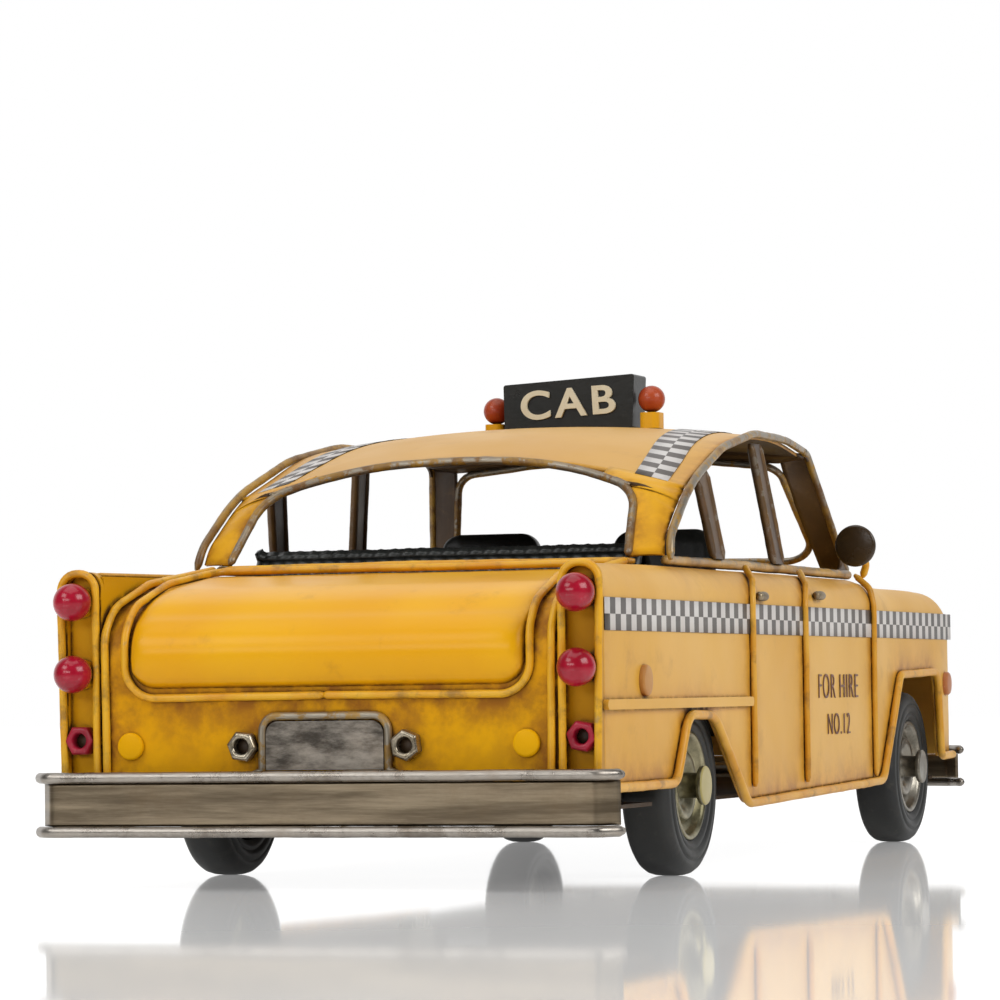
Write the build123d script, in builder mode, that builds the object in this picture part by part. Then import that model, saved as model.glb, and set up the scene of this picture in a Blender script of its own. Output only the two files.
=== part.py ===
"""Friction-drive tin taxi: sheet-tin saloon body with soldered wire trim on a geared flywheel drive.

Frame: X forward, Y left, Z up, origin on the floor under the middle of the overall length.
"""
import os
from math import cos, radians, sin

from build123d import *

os.makedirs("parts", exist_ok=True)

# ---------------------------------------------------------------- driving dimensions (mm)
length = 297.0          # over both bumpers
half_width = 63.0       # to the tips of the rear bumper
front_bumper_half = 60.5
wheelbase = 187.6
rear_axle_x = -74.3
front_axle_x = rear_axle_x + wheelbase
tyre_radius = 18.6
tyre_width = 11.0
rim_radius = 11.4
rear_half_track = 49.4
front_half_track = 48.4
axle_radius = 1.5
running_gap = 0.05      # radial clearance of a turning shaft in its plate

sheet = 0.8             # tin sheet
gap = 0.1               # solder gap between a wire and the sheet under it
trim_wire = 1.8         # diameter of the body trim wires
edge_wire = 2.2         # diameter of the sill, roof and window wires
bumper_wire = 2.6

rear_face_x = -141.4    # outer face of the rear panel
nose_x = 142.4          # outer face of the nose panel
side_y = 56.8           # outer face of the side panels at the doors
belt_z = 63.9           # top of the side panels at the doors
fender_z = 62.4         # top of the front wings
floor_z = 15.0          # underside of the floor pan

roof_edge_z = 94.9
roof_crown_z = 98.2
side_names = ((1, "left"), (-1, "right"))


def finish(name, piece):
    """Label a finished piece and write it as its own STEP file."""
    piece.part.label = name
    export_step(piece.part, f"parts/{name}.step")


def plane_at(origin, across, normal):
    """A sketch plane through origin, with its local x along across."""
    return Plane(origin=origin, x_dir=across, z_dir=normal)


def wire_path(points, radii, close=False):
    """Straight runs joined by tangent arcs."""
    if len(points) == 2:
        return Line(*points)
    return FilletPolyline(*points, radius=radii, close=close)


def add_wire(points, radii, diameter, close=False):
    """Add a round wire along the points to the part being built."""
    with BuildLine() as path:
        wire_path(points, radii, close)
    with BuildSketch(Plane(origin=path.line @ 0, z_dir=path.line % 0)) as section:
        Circle(diameter / 2)
    sweep(section.sketch, path=path.line)


def mirrored(points, side):
    """Points given for the left side, moved to the side asked for."""
    return [(x, side * y, z) for x, y, z in points]


def arched_section(x, half, edge_z, crown_z):
    """Crescent section of a crowned sheet across the car."""
    with BuildSketch(Plane.YZ.offset(x)) as section:
        with BuildLine():
            ThreePointArc((-half, edge_z), (0, crown_z), (half, edge_z))
            Line((half, edge_z), (half, edge_z - sheet))
            ThreePointArc((half, edge_z - sheet), (0, crown_z - sheet), (-half, edge_z - sheet))
            Line((-half, edge_z - sheet), (-half, edge_z))
        make_face()
    return section


def add_crowned_sheet(stations):
    """Loft a crowned sheet through stations of (x, half width, edge height, crown height)."""
    sections = [arched_section(*station) for station in stations]
    loft([section.sketch.face() for section in sections])


# ---------------------------------------------------------------- side panels
# (x, distance of the outer face from the centre plane, height of the top edge)
side_stations = (
    (rear_face_x + 3.0, 56.4, 63.4),
    (-118.0, 56.7, 63.6),
    (-84.0, side_y, belt_z),
    (20.0, side_y, belt_z),
    (62.0, side_y, belt_z),
    (74.0, side_y, fender_z + 0.4),
    (86.0, side_y, fender_z),
    (112.0, side_y, fender_z - 0.1),
    (126.0, 56.7, fender_z - 0.3),
    (136.0, 56.6, 61.5),
    (nose_x - 0.9, 56.2, 60.0),
)
shoulder = 6.8          # drop and inset of the rounded shoulder
panel_foot_z = 12.0

sill_points = (
    (-140.6, 19.5), (-95.6, 19.6), (-87.0, 33.4), (-68.6, 33.0), (-44.6, 14.0), (69.6, 16.2),
    (87.2, 41.2), (124.8, 42.0), (127.4, 20.8), (140.2, 21.2),
)
sill_radii = (5.0, 7.0, 12.0, 8.0, 6.0, 4.0, 4.0, 2.0)


def side_section(x, outer, top, side):
    """Thin section of a side panel with its rounded shoulder."""
    knee = top - shoulder
    reach = outer - shoulder
    bend = shoulder * (1 - cos(radians(45)))
    inner_bend = (shoulder - sheet) * (1 - cos(radians(45)))
    with BuildSketch(Plane.YZ.offset(x)) as section:
        with BuildLine():
            Line((side * outer, panel_foot_z), (side * outer, knee))
            ThreePointArc((side * outer, knee), (side * (outer - bend), top - bend), (side * reach, top))
            Line((side * reach, top), (side * reach, top - sheet))
            ThreePointArc(
                (side * reach, top - sheet),
                (side * (outer - sheet - inner_bend), top - sheet - inner_bend),
                (side * (outer - sheet), knee),
            )
            Line((side * (outer - sheet), knee), (side * (outer - sheet), panel_foot_z))
            Line((side * (outer - sheet), panel_foot_z), (side * outer, panel_foot_z))
        make_face()
    return section


for side, side_name in side_names:
    with BuildPart() as side_panel:
        sections = [side_section(x, outer, top, side) for x, outer, top in side_stations]
        loft([section.sketch.face() for section in sections], ruled=True)
        with BuildSketch(Plane.XZ.offset(-side * (half_width + 8))):
            with BuildLine():
                edge = FilletPolyline(*sill_points, radius=sill_radii)
                Polyline(
                    edge @ 1, (length / 2, sill_points[-1][1]), (length / 2, 5), (-length / 2, 5),
                    (-length / 2, sill_points[0][1]), edge @ 0,
                )
            make_face()
        extrude(amount=side * 30, mode=Mode.SUBTRACT)
    finish(f"side_panel_{side_name}", side_panel)

wire_y = side_y + edge_wire / 2 + gap
with BuildPart() as sill_wires:
    for side, _ in side_names:
        add_wire([(x, side * wire_y, z) for x, z in sill_points], sill_radii, edge_wire)
finish("sill_wires", sill_wires)

door_wire_y = side_y + trim_wire / 2 + gap
door_lines = ((-38.5, -27.0), (3.5, 16.5), (63.5, 65.5))  # x at the sill and x at the belt
with BuildPart() as door_wires:
    for side, _ in side_names:
        for foot_x, head_x in door_lines:
            route = [
                (foot_x, door_wire_y, 17.4),
                (foot_x, door_wire_y, belt_z - shoulder + 0.6),
                ((2 * foot_x + head_x) / 3, door_wire_y - 1.0, belt_z - 2.2),
                (head_x, side_y - shoulder + 2.4, belt_z + trim_wire / 2 + 0.2),
            ]
            add_wire(mirrored(route, side), (3.0, 3.0), trim_wire)
finish("door_wires", door_wires)

rail_y = side_y - shoulder
rail_z = belt_z + edge_wire / 2 + gap
with BuildPart() as belt_rails:
    for side, _ in side_names:
        add_wire([(-78.0, side * rail_y, rail_z), (69.5, side * rail_y, rail_z)], None, edge_wire)
finish("belt_rails", belt_rails)

moulding_z = 35.7
moulding_height = 2.0
moulding_depth = 1.1
moulding_middle_x = -90.2
moulding_length = 100.0
with BuildPart() as side_mouldings:
    for side, _ in side_names:
        with BuildSketch(Plane.XZ.offset(-side * (side_y + gap))):
            with Locations((moulding_middle_x, moulding_z)):
                SlotOverall(moulding_length, moulding_height)
        extrude(amount=-side * moulding_depth)
finish("side_mouldings", side_mouldings)

handle_length = 7.0
handle_height = 2.2
handle_depth = 1.6
with BuildPart() as door_handles:
    for side, _ in side_names:
        for handle_x, handle_z in ((-30.8, 58.3), (15.6, 59.2)):
            with BuildSketch(Plane.XZ.offset(-side * (side_y + 0.2))):
                with Locations((handle_x, handle_z)):
                    SlotOverall(handle_length, handle_height)
            extrude(amount=-side * handle_depth)
finish("door_handles", door_handles)

# ---------------------------------------------------------------- floor pan
pan_thickness = 0.8
pan_half_width = 52.4
wheel_slot_half = 21.5
wheel_slot_depth = 11.0   # how far a wheel slot cuts in from the edge
motor_slot = (-77.3, 28.2, 25.0)     # middle x, length and width of the slot under the drive
with BuildPart() as floor_pan:
    with BuildSketch(Plane.XY.offset(floor_z)):
        with Locations(((rear_face_x + nose_x) / 2, 0)):
            RectangleRounded(nose_x - rear_face_x - 2.4, 2 * pan_half_width, 3)
        for axle_x in (rear_axle_x, front_axle_x):
            with Locations((axle_x, pan_half_width), (axle_x, -pan_half_width)):
                Rectangle(2 * wheel_slot_half, 2 * wheel_slot_depth, mode=Mode.SUBTRACT)
        with Locations((motor_slot[0], 0)):
            RectangleRounded(motor_slot[1], motor_slot[2], 2, mode=Mode.SUBTRACT)
    extrude(amount=pan_thickness)
finish("floor_pan", floor_pan)
pan_top = floor_z + pan_thickness

# ---------------------------------------------------------------- rear end
boot_half = 48.3        # the boot sheet fills the space between the two fin walls
boot_foot_z = 19.6
roll_start_z = 47.0     # height where the upright rear face starts to roll forward
# outer face of the boot sheet seen from the side, from the rear face over the roll to the rear window
boot_profile = (
    (rear_face_x, roll_start_z), (-139.9, 51.6), (-136.6, 54.6), (-132.5, 56.8), (-127.4, 58.6),
    (-121.2, 59.9), (-104.0, 62.2), (-86.6, 63.6),
)
boot_step = 0.6         # drop and set-back of the inner face of the rolled sheet
rear_top_z = roll_start_z - boot_step - gap
with BuildPart() as rear_panel:
    with BuildSketch(Plane.YZ.offset(rear_face_x)):
        with Locations((0, (boot_foot_z + rear_top_z) / 2)):
            Rectangle(2 * boot_half, rear_top_z - boot_foot_z)
    extrude(amount=sheet)
finish("rear_panel", rear_panel)

with BuildPart() as trunk_deck:
    with BuildSketch(Plane.XZ):
        with BuildLine():
            outer_face = Spline(*boot_profile)
            inner_face = Spline(*[(x + boot_step, z - boot_step) for x, z in boot_profile])
            Line(outer_face @ 0, inner_face @ 0)
            Line(outer_face @ 1, inner_face @ 1)
        make_face()
    extrude(amount=boot_half, both=True)
finish("trunk_deck", trunk_deck)

lid_half = 41.6
lid_foot_z = 39.4
lid_front_x = -101.0
lid_lift = 0.4          # space between the boot sheet and the lid skin
with BuildPart() as trunk_lid:
    with BuildSketch(Plane.XZ):
        with BuildLine():
            lid_outer = Spline(
                (rear_face_x - 0.7, lid_foot_z), (rear_face_x - 2.3, 44.0), (rear_face_x - 1.6, 49.6),
                (-138.8, 54.6), (-133.6, 57.9), (-127.8, 60.0), (-121.6, 61.2), (lid_front_x, 63.9),
            )
            lid_inner = Spline(
                (lid_front_x, 63.2), *[(x - lid_lift, z + lid_lift) for x, z in boot_profile[-3::-1]]
            )
            Line(lid_outer @ 1, lid_inner @ 0)
            Line(lid_inner @ 1, (rear_face_x - lid_lift, lid_foot_z))
            Line((rear_face_x - lid_lift, lid_foot_z), lid_outer @ 0)
        make_face()
    extrude(amount=lid_half, both=True)
    with BuildSketch(Plane.YZ.offset(-length / 2)):
        with Locations((0, lid_foot_z + 20)):
            RectangleRounded(2 * lid_half, 40, 5.4)
    extrude(amount=length / 2, mode=Mode.INTERSECT)
finish("trunk_lid", trunk_lid)

trim_x = rear_face_x - trim_wire / 2 - gap
lid_wire_half = lid_half + 1.2


def over_boot(foot_half, face_half, rolled_half):
    """Corner points of a wire from the rear face over the roll, on the left side."""
    return [(trim_x, foot_half, 50.6), (-138.0, face_half, 56.4), (-122.0, rolled_half, 61.5)]


with BuildPart() as trunk_lid_wire:
    left_run = [(trim_x, lid_wire_half, 38.0), *over_boot(lid_wire_half, 42.8, 42.7), (-97.4, 42.7, 64.3)]
    add_wire(
        left_run + mirrored(reversed(left_run), -1),
        (6.2, 5.0, 8.0, 20.0, 4.0, 4.0, 20.0, 8.0, 5.0, 6.2), trim_wire, close=True,
    )
finish("trunk_lid_wire", trunk_lid_wire)

with BuildPart() as trunk_border_wire:
    for side, _ in side_names:
        add_wire(
            mirrored([(trim_x, 47.1, 20.8), *over_boot(47.2, 47.2, 46.8), (-90.0, 46.4, 64.9)], side),
            (5.0, 8.0, 20.0), trim_wire,
        )
finish("trunk_border_wire", trunk_border_wire)

housing_front_x = rear_face_x + 2.8
housing_depth = 2.3
housing_inner_y = 48.4
housing_outer_y = 56.6
housing_top_z = 63.5
housing_foot_z = 19.8
fin_front_x = -86.0
for side, side_name in side_names:
    middle = side * (housing_inner_y + housing_outer_y) / 2
    wide = housing_outer_y - housing_inner_y
    with BuildPart() as lamp_housing:
        with BuildSketch(Plane.YZ.offset(housing_front_x)) as housing_outline:
            with Locations((middle, (housing_foot_z + housing_top_z) / 2)):
                Rectangle(wide, housing_top_z - housing_foot_z)
            fillet(housing_outline.vertices().group_by(Axis.Y)[-1], 3.0)
        extrude(amount=-housing_depth)
        with BuildSketch(Plane.YZ.offset(housing_front_x - sheet)) as recess_outline:
            with Locations((middle, (housing_foot_z + housing_top_z) / 2 - sheet)):
                Rectangle(wide - 2 * sheet, housing_top_z - housing_foot_z)
            fillet(recess_outline.vertices().group_by(Axis.Y)[-1], 2.2)
        extrude(amount=-housing_depth, mode=Mode.SUBTRACT)
        with BuildSketch(Plane.XZ.offset(-side * housing_inner_y)):
            with BuildLine():
                Polyline(
                    (housing_front_x - 1, housing_foot_z), (-134.0, housing_foot_z), (-134.0, 44.0), (fin_front_x, 60.4),
                    (fin_front_x, 63.0), (housing_front_x - 1, 62.6), (housing_front_x - 1, housing_foot_z),
                )
            make_face()
        extrude(amount=-side * sheet)
    finish(f"lamp_housing_{side_name}", lamp_housing)

frame_x = housing_front_x - housing_depth - trim_wire / 2 - 0.15
with BuildPart() as lamp_frame_wires:
    for side, _ in side_names:
        add_wire(
            mirrored(
                [(frame_x, 49.2, 20.4), (frame_x, 49.2, 63.2), (frame_x, 57.0, 63.2), (frame_x, 57.0, 20.4)],
                side,
            ),
            (3.2, 3.2), trim_wire,
        )
finish("lamp_frame_wires", lamp_frame_wires)

bead_radius = 3.8
bead_y = 53.1
bead_heights = (57.4, 43.0)
bead_x = frame_x - 2.7
bead_stem = housing_front_x - sheet - 0.1 - bead_x
with BuildPart() as tail_lamps:
    for side, _ in side_names:
        for bead_z in bead_heights:
            place = (bead_x, side * bead_y, bead_z)
            with BuildSketch(plane_at(place, (1, 0, 0), (0, 0, 1))):
                with BuildLine():
                    ThreePointArc((-bead_radius, 0), (0, bead_radius), (bead_radius * 0.8, bead_radius * 0.6))
                    Line((bead_radius * 0.8, bead_radius * 0.6), (bead_stem, bead_radius * 0.6))
                    Line((bead_stem, bead_radius * 0.6), (bead_stem, 0))
                    Line((bead_stem, 0), (-bead_radius, 0))
                make_face()
            revolve(axis=Axis(place, (1, 0, 0)))
finish("tail_lamps", tail_lamps)

nut_height = 2.4
nut_flat = 2.75         # half the width across the flats
nut_bore = 1.5
channel_nut_x = housing_front_x - sheet - 0.1
panel_nut_x = rear_face_x - 0.1
nut_places = (
    (channel_nut_x, 53.0, 29.7, 30), (panel_nut_x, 17.2, 28.3, 0),
    (panel_nut_x, -17.2, 28.3, 15), (channel_nut_x, -53.0, 29.7, 30),
)
with BuildPart() as hex_nuts:
    for nut_x, nut_y, nut_z, turn in nut_places:
        with BuildSketch(Plane.YZ.offset(nut_x)):
            with Locations((nut_y, nut_z)):
                RegularPolygon(radius=nut_flat, side_count=6, major_radius=False, rotation=turn)
                Circle(nut_bore, mode=Mode.SUBTRACT)
        extrude(amount=-nut_height)
finish("hex_nuts", hex_nuts)

plate_half = 12.4
plate_foot_z = 23.6
plate_top_z = 33.2
plate_wire = 1.6
plate_sheet = 0.8
with BuildPart() as number_plate:
    with BuildSketch(Plane.YZ.offset(rear_face_x - 0.2)) as plate_outline:
        with Locations((0, (plate_foot_z + plate_top_z) / 2)):
            Rectangle(2 * plate_half, plate_top_z - plate_foot_z)
        fillet(plate_outline.vertices().group_by(Axis.Y)[-1], 2.6)
    extrude(amount=-plate_sheet)
finish("number_plate", number_plate)

with BuildPart() as plate_frame:
    add_wire(
        [
            (trim_x, 15.3, 22.2), (trim_x, 13.3, 23.6), (trim_x, 13.3, 34.2),
            (trim_x, -13.3, 34.2), (trim_x, -13.3, 23.6), (trim_x, -15.3, 22.2),
        ],
        (0.9, 3.0, 3.0, 0.9), plate_wire,
    )
finish("plate_frame", plate_frame)

rear_disc_y = 41.8
rear_disc_z = 28.5
rear_disc_radius = 2.7
disc_thickness = 1.0
# (x, y, z, radius) of the reflector behind the rear wheel and the marker on the front wing
side_discs = ((-113.5, side_y, 40.3, 3.15), (136.4, side_y - 0.2, 39.0, 2.9))
with BuildPart() as body_discs:
    for side, _ in side_names:
        with BuildSketch(Plane.YZ.offset(rear_face_x - gap)):
            with Locations((side * rear_disc_y, rear_disc_z)):
                Circle(rear_disc_radius)
        extrude(amount=-disc_thickness)
        for disc_x, disc_y, disc_z, disc_radius in side_discs:
            with BuildSketch(Plane.XZ.offset(-side * (disc_y + gap))):
                with Locations((disc_x, disc_z)):
                    Circle(disc_radius)
            extrude(amount=-side * disc_thickness)
finish("body_discs", body_discs)

# ---------------------------------------------------------------- bumpers
bumper_plate = 1.0
plate_set_back = 0.4    # from the middle of the wires to the face of the plate
run_x = length / 2 - bumper_wire / 2      # centre of the wires across the car, both ends
tip_reach = 4.6                           # how far the tips fold back towards the body


def add_bumper_plate(end, half, foot_z, top_z):
    """Flat bar between the two wires, with its tips folded towards the body."""
    face_x = run_x - plate_set_back
    fold = half - 4.4
    with BuildSketch(Plane.XY.offset(foot_z)) as bar:
        with BuildLine():
            Polyline(
                (end * (face_x - tip_reach), half - 0.6), (end * face_x, fold), (end * face_x, -fold),
                (end * (face_x - tip_reach), 0.6 - half), (end * (face_x - tip_reach - 1.2), 1.4 - half),
                (end * (face_x - bumper_plate), 0.6 - fold), (end * (face_x - bumper_plate), fold - 0.6),
                (end * (face_x - tip_reach - 1.2), half - 1.4), (end * (face_x - tip_reach), half - 0.6),
            )
        make_face()
    extrude(bar.sketch, amount=top_z - foot_z)


def add_bumper_wire(end, half, z):
    """Wire along one edge of a bumper, folded back at its tips."""
    tip = (end * (run_x - tip_reach), half - bumper_wire / 2, z)
    bend = (end * run_x, half - 5.2, z)
    add_wire([tip, bend, (bend[0], -bend[1], z), (tip[0], -tip[1], z)], (2.4, 2.4), bumper_wire)


rear_wires_z = (11.6, 22.4)
front_wires_z = (14.0, 22.2)
clear = bumper_wire / 2 + 0.05
with BuildPart() as rear_bumper:
    add_bumper_plate(-1, half_width, rear_wires_z[0] + clear, rear_wires_z[1] - clear)
finish("rear_bumper", rear_bumper)

with BuildPart() as front_bumper:
    add_bumper_plate(1, front_bumper_half, front_wires_z[0] + clear, front_wires_z[1] - clear)
finish("front_bumper", front_bumper)

with BuildPart() as bumper_wires:
    for wire_z in rear_wires_z:
        add_bumper_wire(-1, half_width, wire_z)
    for wire_z in front_wires_z:
        add_bumper_wire(1, front_bumper_half, wire_z)
finish("bumper_wires", bumper_wires)

bracket_y = 32.0
bracket_width = 6.0
bracket_foot_z = 14.0
bracket_top_z = 20.4
bracket_sheet = 1.0
with BuildPart() as bumper_brackets:
    for end, pan_end in ((-1, rear_face_x + 16), (1, nose_x - 16)):
        inner_face = end * (run_x - plate_set_back - bumper_plate - 0.02)
        for side, _ in side_names:
            with BuildSketch(Plane.XZ.offset(-side * bracket_y)):
                with BuildLine():
                    Polyline(
                        (inner_face, bracket_top_z), (inner_face, bracket_foot_z), (pan_end, bracket_foot_z),
                        (pan_end, floor_z - 0.04), (inner_face - end * bracket_sheet, floor_z - 0.04),
                        (inner_face - end * bracket_sheet, bracket_top_z), (inner_face, bracket_top_z),
                    )
                make_face()
            extrude(amount=bracket_width / 2, both=True)
finish("bumper_brackets", bumper_brackets)

# ---------------------------------------------------------------- nose
nose_foot_z = 21.2
nose_top_z = 58.8
with BuildPart() as nose_panel:
    with BuildSketch(Plane.YZ.offset(nose_x - sheet)) as nose_outline:
        with Locations((0, (nose_foot_z + nose_top_z) / 2)):
            Rectangle(2 * pan_half_width, nose_top_z - nose_foot_z)
        fillet(nose_outline.vertices().group_by(Axis.Y)[-1], 7)
    extrude(amount=sheet)
finish("nose_panel", nose_panel)

with BuildPart() as hood:
    add_crowned_sheet((
        (66.2, 49.6, 62.8, 66.4), (92.0, 49.4, 62.0, 66.2), (122.0, 49.2, 61.6, 65.2),
        (136.0, 48.4, 60.6, 63.2), (nose_x - 0.9, 47.4, 58.8, 60.6),
    ))
finish("hood", hood)

with BuildPart() as cowl:
    add_crowned_sheet(((50.4, 49.6, 62.9, 65.6), (66.1, 49.6, 62.8, 66.4)))
finish("cowl", cowl)

grille_half = 30.0
grille_low_z = 27.0
grille_high_z = 46.0
grille_bar = 1.6
with BuildPart() as grille:
    with BuildSketch(Plane.YZ.offset(nose_x + 0.05)):
        with Locations((0, (grille_low_z + grille_high_z) / 2)):
            RectangleRounded(2 * grille_half, grille_high_z - grille_low_z, 4)
            RectangleRounded(2 * grille_half - 4, grille_high_z - grille_low_z - 4, 3, mode=Mode.SUBTRACT)
    extrude(amount=1.6)
    with BuildSketch(Plane.YZ.offset(nose_x + 0.05)):
        for row in range(4):
            with Locations((0, grille_low_z + 4.4 + row * 3.4)):
                Rectangle(2 * grille_half - 2, grille_bar)
    extrude(amount=1.1)
finish("grille", grille)

headlamp_y = 41.6
headlamp_z = 39.0
with BuildPart() as headlamp_bezels:
    with BuildSketch(Plane.YZ.offset(nose_x + 0.05)):
        for side, _ in side_names:
            with Locations((side * headlamp_y, headlamp_z)):
                Circle(8.6)
                Circle(6.8, mode=Mode.SUBTRACT)
    extrude(amount=2.0)
finish("headlamp_bezels", headlamp_bezels)

with BuildPart() as headlamps:
    for side, _ in side_names:
        place = (nose_x + 0.05, side * headlamp_y, headlamp_z)
        with BuildSketch(plane_at(place, (1, 0, 0), (0, 0, 1))):
            with BuildLine():
                Line((0, 0), (2.9, 0))
                ThreePointArc((2.9, 0), (2.5, 3.6), (1.0, 6.7))
                Line((1.0, 6.7), (0, 6.7))
                Line((0, 6.7), (0, 0))
            make_face()
        revolve(axis=Axis(place, (1, 0, 0)))
finish("headlamps", headlamps)

# ---------------------------------------------------------------- greenhouse
roof_rear_x = -64.0
roof_front_x = 40.5
roof_stations = (
    (roof_rear_x, 50.2, 80.9, 88.4), (-50.0, 49.8, 85.4, 92.2), (-36.0, 49.1, 90.1, 95.0),
    (-8.0, 48.1, 94.5, 97.9), (8.0, 47.8, roof_edge_z, roof_crown_z), (22.0, 47.1, 94.4, 97.6),
    (roof_front_x, 45.7, 93.0, 95.6),
)
with BuildPart() as roof_panel:
    add_crowned_sheet(roof_stations)
finish("roof_panel", roof_panel)

with BuildPart() as roof_rails:
    for side, _ in side_names:
        route = [
            (-82.6, 53.0, 65.2), (-80.6, 52.4, 70.0), (roof_rear_x, 51.6, 81.4), (-36.0, 50.5, 90.6),
            (-8.0, 49.5, 95.0), (22.0, 48.5, 94.9), (roof_front_x, 47.1, 93.5),
        ]
        add_wire(mirrored(route, side), (8.0, 30.0, 40.0, 40.0, 40.0), edge_wire)
finish("roof_rails", roof_rails)

window_top_x = roof_rear_x - edge_wire / 2 - gap - 0.1
with BuildPart() as rear_window_frame:
    upper = [(-84.6, 44.4, 66.2), (-71.6, 42.0, 80.2), (window_top_x, 27.3, 86.5)]
    lower_mirror = mirrored(reversed(upper), -1)
    add_wire(
        upper + [(window_top_x, 0, 88.0)] + lower_mirror, (8.0, 40.0, 100.0, 40.0, 8.0), edge_wire
    )
    add_wire([(-85.0, 46.0, 65.0), (-85.0, -46.0, 65.0)], None, trim_wire)
finish("rear_window_frame", rear_window_frame)

with BuildPart() as c_pillars:
    for side, _ in side_names:
        foot_inner = Vector(-83.2, side * 46.6, 65.8)
        foot_outer = Vector(-81.9, side * 51.2, 65.8)
        head_outer = Vector(-65.2, side * 49.7, 79.4)
        across = foot_outer - foot_inner
        sheet_plane = Plane(origin=foot_inner, x_dir=across, z_dir=across.cross(head_outer - foot_inner))
        corners = [
            sheet_plane.to_local_coords(corner)
            for corner in (head_outer, Vector(-65.4, side * 37.0, 83.4), Vector(-69.8, side * 44.4, 79.2))
        ]
        with BuildSketch(sheet_plane):
            with BuildLine():
                Polyline((0, 0), (across.length, 0), *[(corner.X, corner.Y) for corner in corners], (0, 0))
            make_face()
        extrude(amount=-side * sheet)
finish("c_pillars", c_pillars)

pillar_strip = 1.0
pillar_wire = 2.0


def add_pillar(foot_x, foot_y, head_y, rear_head, front_head, width, side):
    """Door post: a flat strip in the side of the cab with a wire along each edge."""
    foot_z = 67.2
    lean = (head_y - foot_y) / (max(rear_head[1], front_head[1]) - foot_z)
    rear_foot = Vector(foot_x - width / 2, side * foot_y, foot_z)
    front_foot = Vector(foot_x + width / 2, side * foot_y, foot_z)
    heads = [Vector(x, side * (foot_y + lean * (z - foot_z)), z) for x, z in (rear_head, front_head)]
    strip_plane = Plane(
        origin=rear_foot, x_dir=(1, 0, 0), z_dir=Vector(1, 0, 0).cross(heads[0] - rear_foot)
    )
    local = [strip_plane.to_local_coords(head) for head in heads]
    with BuildSketch(strip_plane) as strip:
        with BuildLine():
            Polyline((0, 0), (width, 0), (local[1].X, local[1].Y), (local[0].X, local[0].Y), (0, 0))
        make_face()
    extrude(strip.sketch, amount=pillar_strip / 2, both=True)
    for foot, head in ((rear_foot, heads[0]), (front_foot, heads[1])):
        with BuildSketch(Plane(origin=foot, z_dir=head - foot)) as section:
            Circle(pillar_wire / 2)
        extrude(section.sketch, amount=(head - foot).length)


with BuildPart() as door_pillars:
    for side, _ in side_names:
        add_pillar(-41.6, 50.8, 48.9, (-50.6, 82.6), (-44.4, 84.8), 6.2, side)
        add_pillar(4.8, 50.8, 47.2, (-3.4, 92.6), (2.8, 92.9), 6.2, side)
finish("door_pillars", door_pillars)

# (foot, head) of the left and right windscreen pillars; the left one stands more upright
screen_pillars = (
    ((48.8, 46.2, 66.8), (44.2, 43.6, 91.8)),
    ((73.0, -46.2, 66.8), (43.6, -43.6, 91.8)),
)
with BuildPart() as a_pillars:
    for foot, head in screen_pillars:
        run = Vector(head) - Vector(foot)
        with BuildSketch(Plane(origin=foot, x_dir=(0, 1, 0), z_dir=run)):
            Rectangle(5.0, 1.4)
        extrude(amount=run.length)
finish("a_pillars", a_pillars)

with BuildPart() as windshield_frame:
    screen_feet = ((70.2, -42.2, 68.6), (48.6, 42.2, 68.6))
    add_wire(
        [
            screen_feet[0], (44.6, -39.8, 90.2), (43.0, -20.0, 92.2), (42.8, 0, 92.9), (43.0, 20.0, 92.2),
            (44.8, 39.8, 90.2), screen_feet[1],
        ],
        (5.0, 40.0, 40.0, 40.0, 5.0), trim_wire,
    )
    add_wire(screen_feet, None, trim_wire)
finish("windshield_frame", windshield_frame)

# ---------------------------------------------------------------- roof sign
sign_x = 10.5           # rear face
sign_depth = 9.0
sign_low_z = roof_crown_z + 0.15
with BuildPart() as sign_box:
    with BuildSketch(Plane.YZ.offset(sign_x)) as sign_outline:
        with BuildLine():
            Polyline(
                (15.8, sign_low_z), (16.0, 109.2), (-15.8, 110.8), (-15.2, sign_low_z), (15.8, sign_low_z)
            )
        make_face()
        fillet(sign_outline.vertices(), 0.6)
    extrude(amount=sign_depth)
finish("sign_box", sign_box)

sign_lamp_radius = 3.1
sign_lamp_places = ((15.4, 19.4, 103.6), (13.4, -19.0, 105.0))
with BuildPart() as sign_lamps:
    with Locations(*sign_lamp_places):
        Sphere(sign_lamp_radius)
finish("sign_lamps", sign_lamps)

cup_foot_z = roof_crown_z
with BuildPart() as sign_lamp_cups:
    for lamp_x, lamp_y, lamp_z in sign_lamp_places:
        with BuildSketch(Plane.XY.offset(cup_foot_z)):
            with Locations((lamp_x, lamp_y)):
                RectangleRounded(6.0, 4.6, 1.6)
        extrude(amount=lamp_z - sign_lamp_radius - cup_foot_z - 0.05)
finish("sign_lamp_cups", sign_lamp_cups)

# ---------------------------------------------------------------- door mirror
mirror_centre = (58.5, -54.6, 71.7)
mirror_radius = 5.0
with BuildPart() as side_mirror:
    with BuildSketch(plane_at(mirror_centre, (1, 0, 0), (0, 0, 1))):
        with BuildLine():
            Line((-0.6, 0), (3.0, 0))
            ThreePointArc((3.0, 0), (1.9, 3.4), (0.2, mirror_radius))
            Line((0.2, mirror_radius), (-0.6, mirror_radius))
            Line((-0.6, mirror_radius), (-0.6, 0))
        make_face()
    revolve(axis=Axis(mirror_centre, (1, 0, 0)))
    add_wire(
        [(67.6, -53.8, 64.6), (66.2, -55.2, 67.6), (60.9, -54.6, 71.2)], (2.0,), trim_wire
    )
finish("side_mirror", side_mirror)

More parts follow.
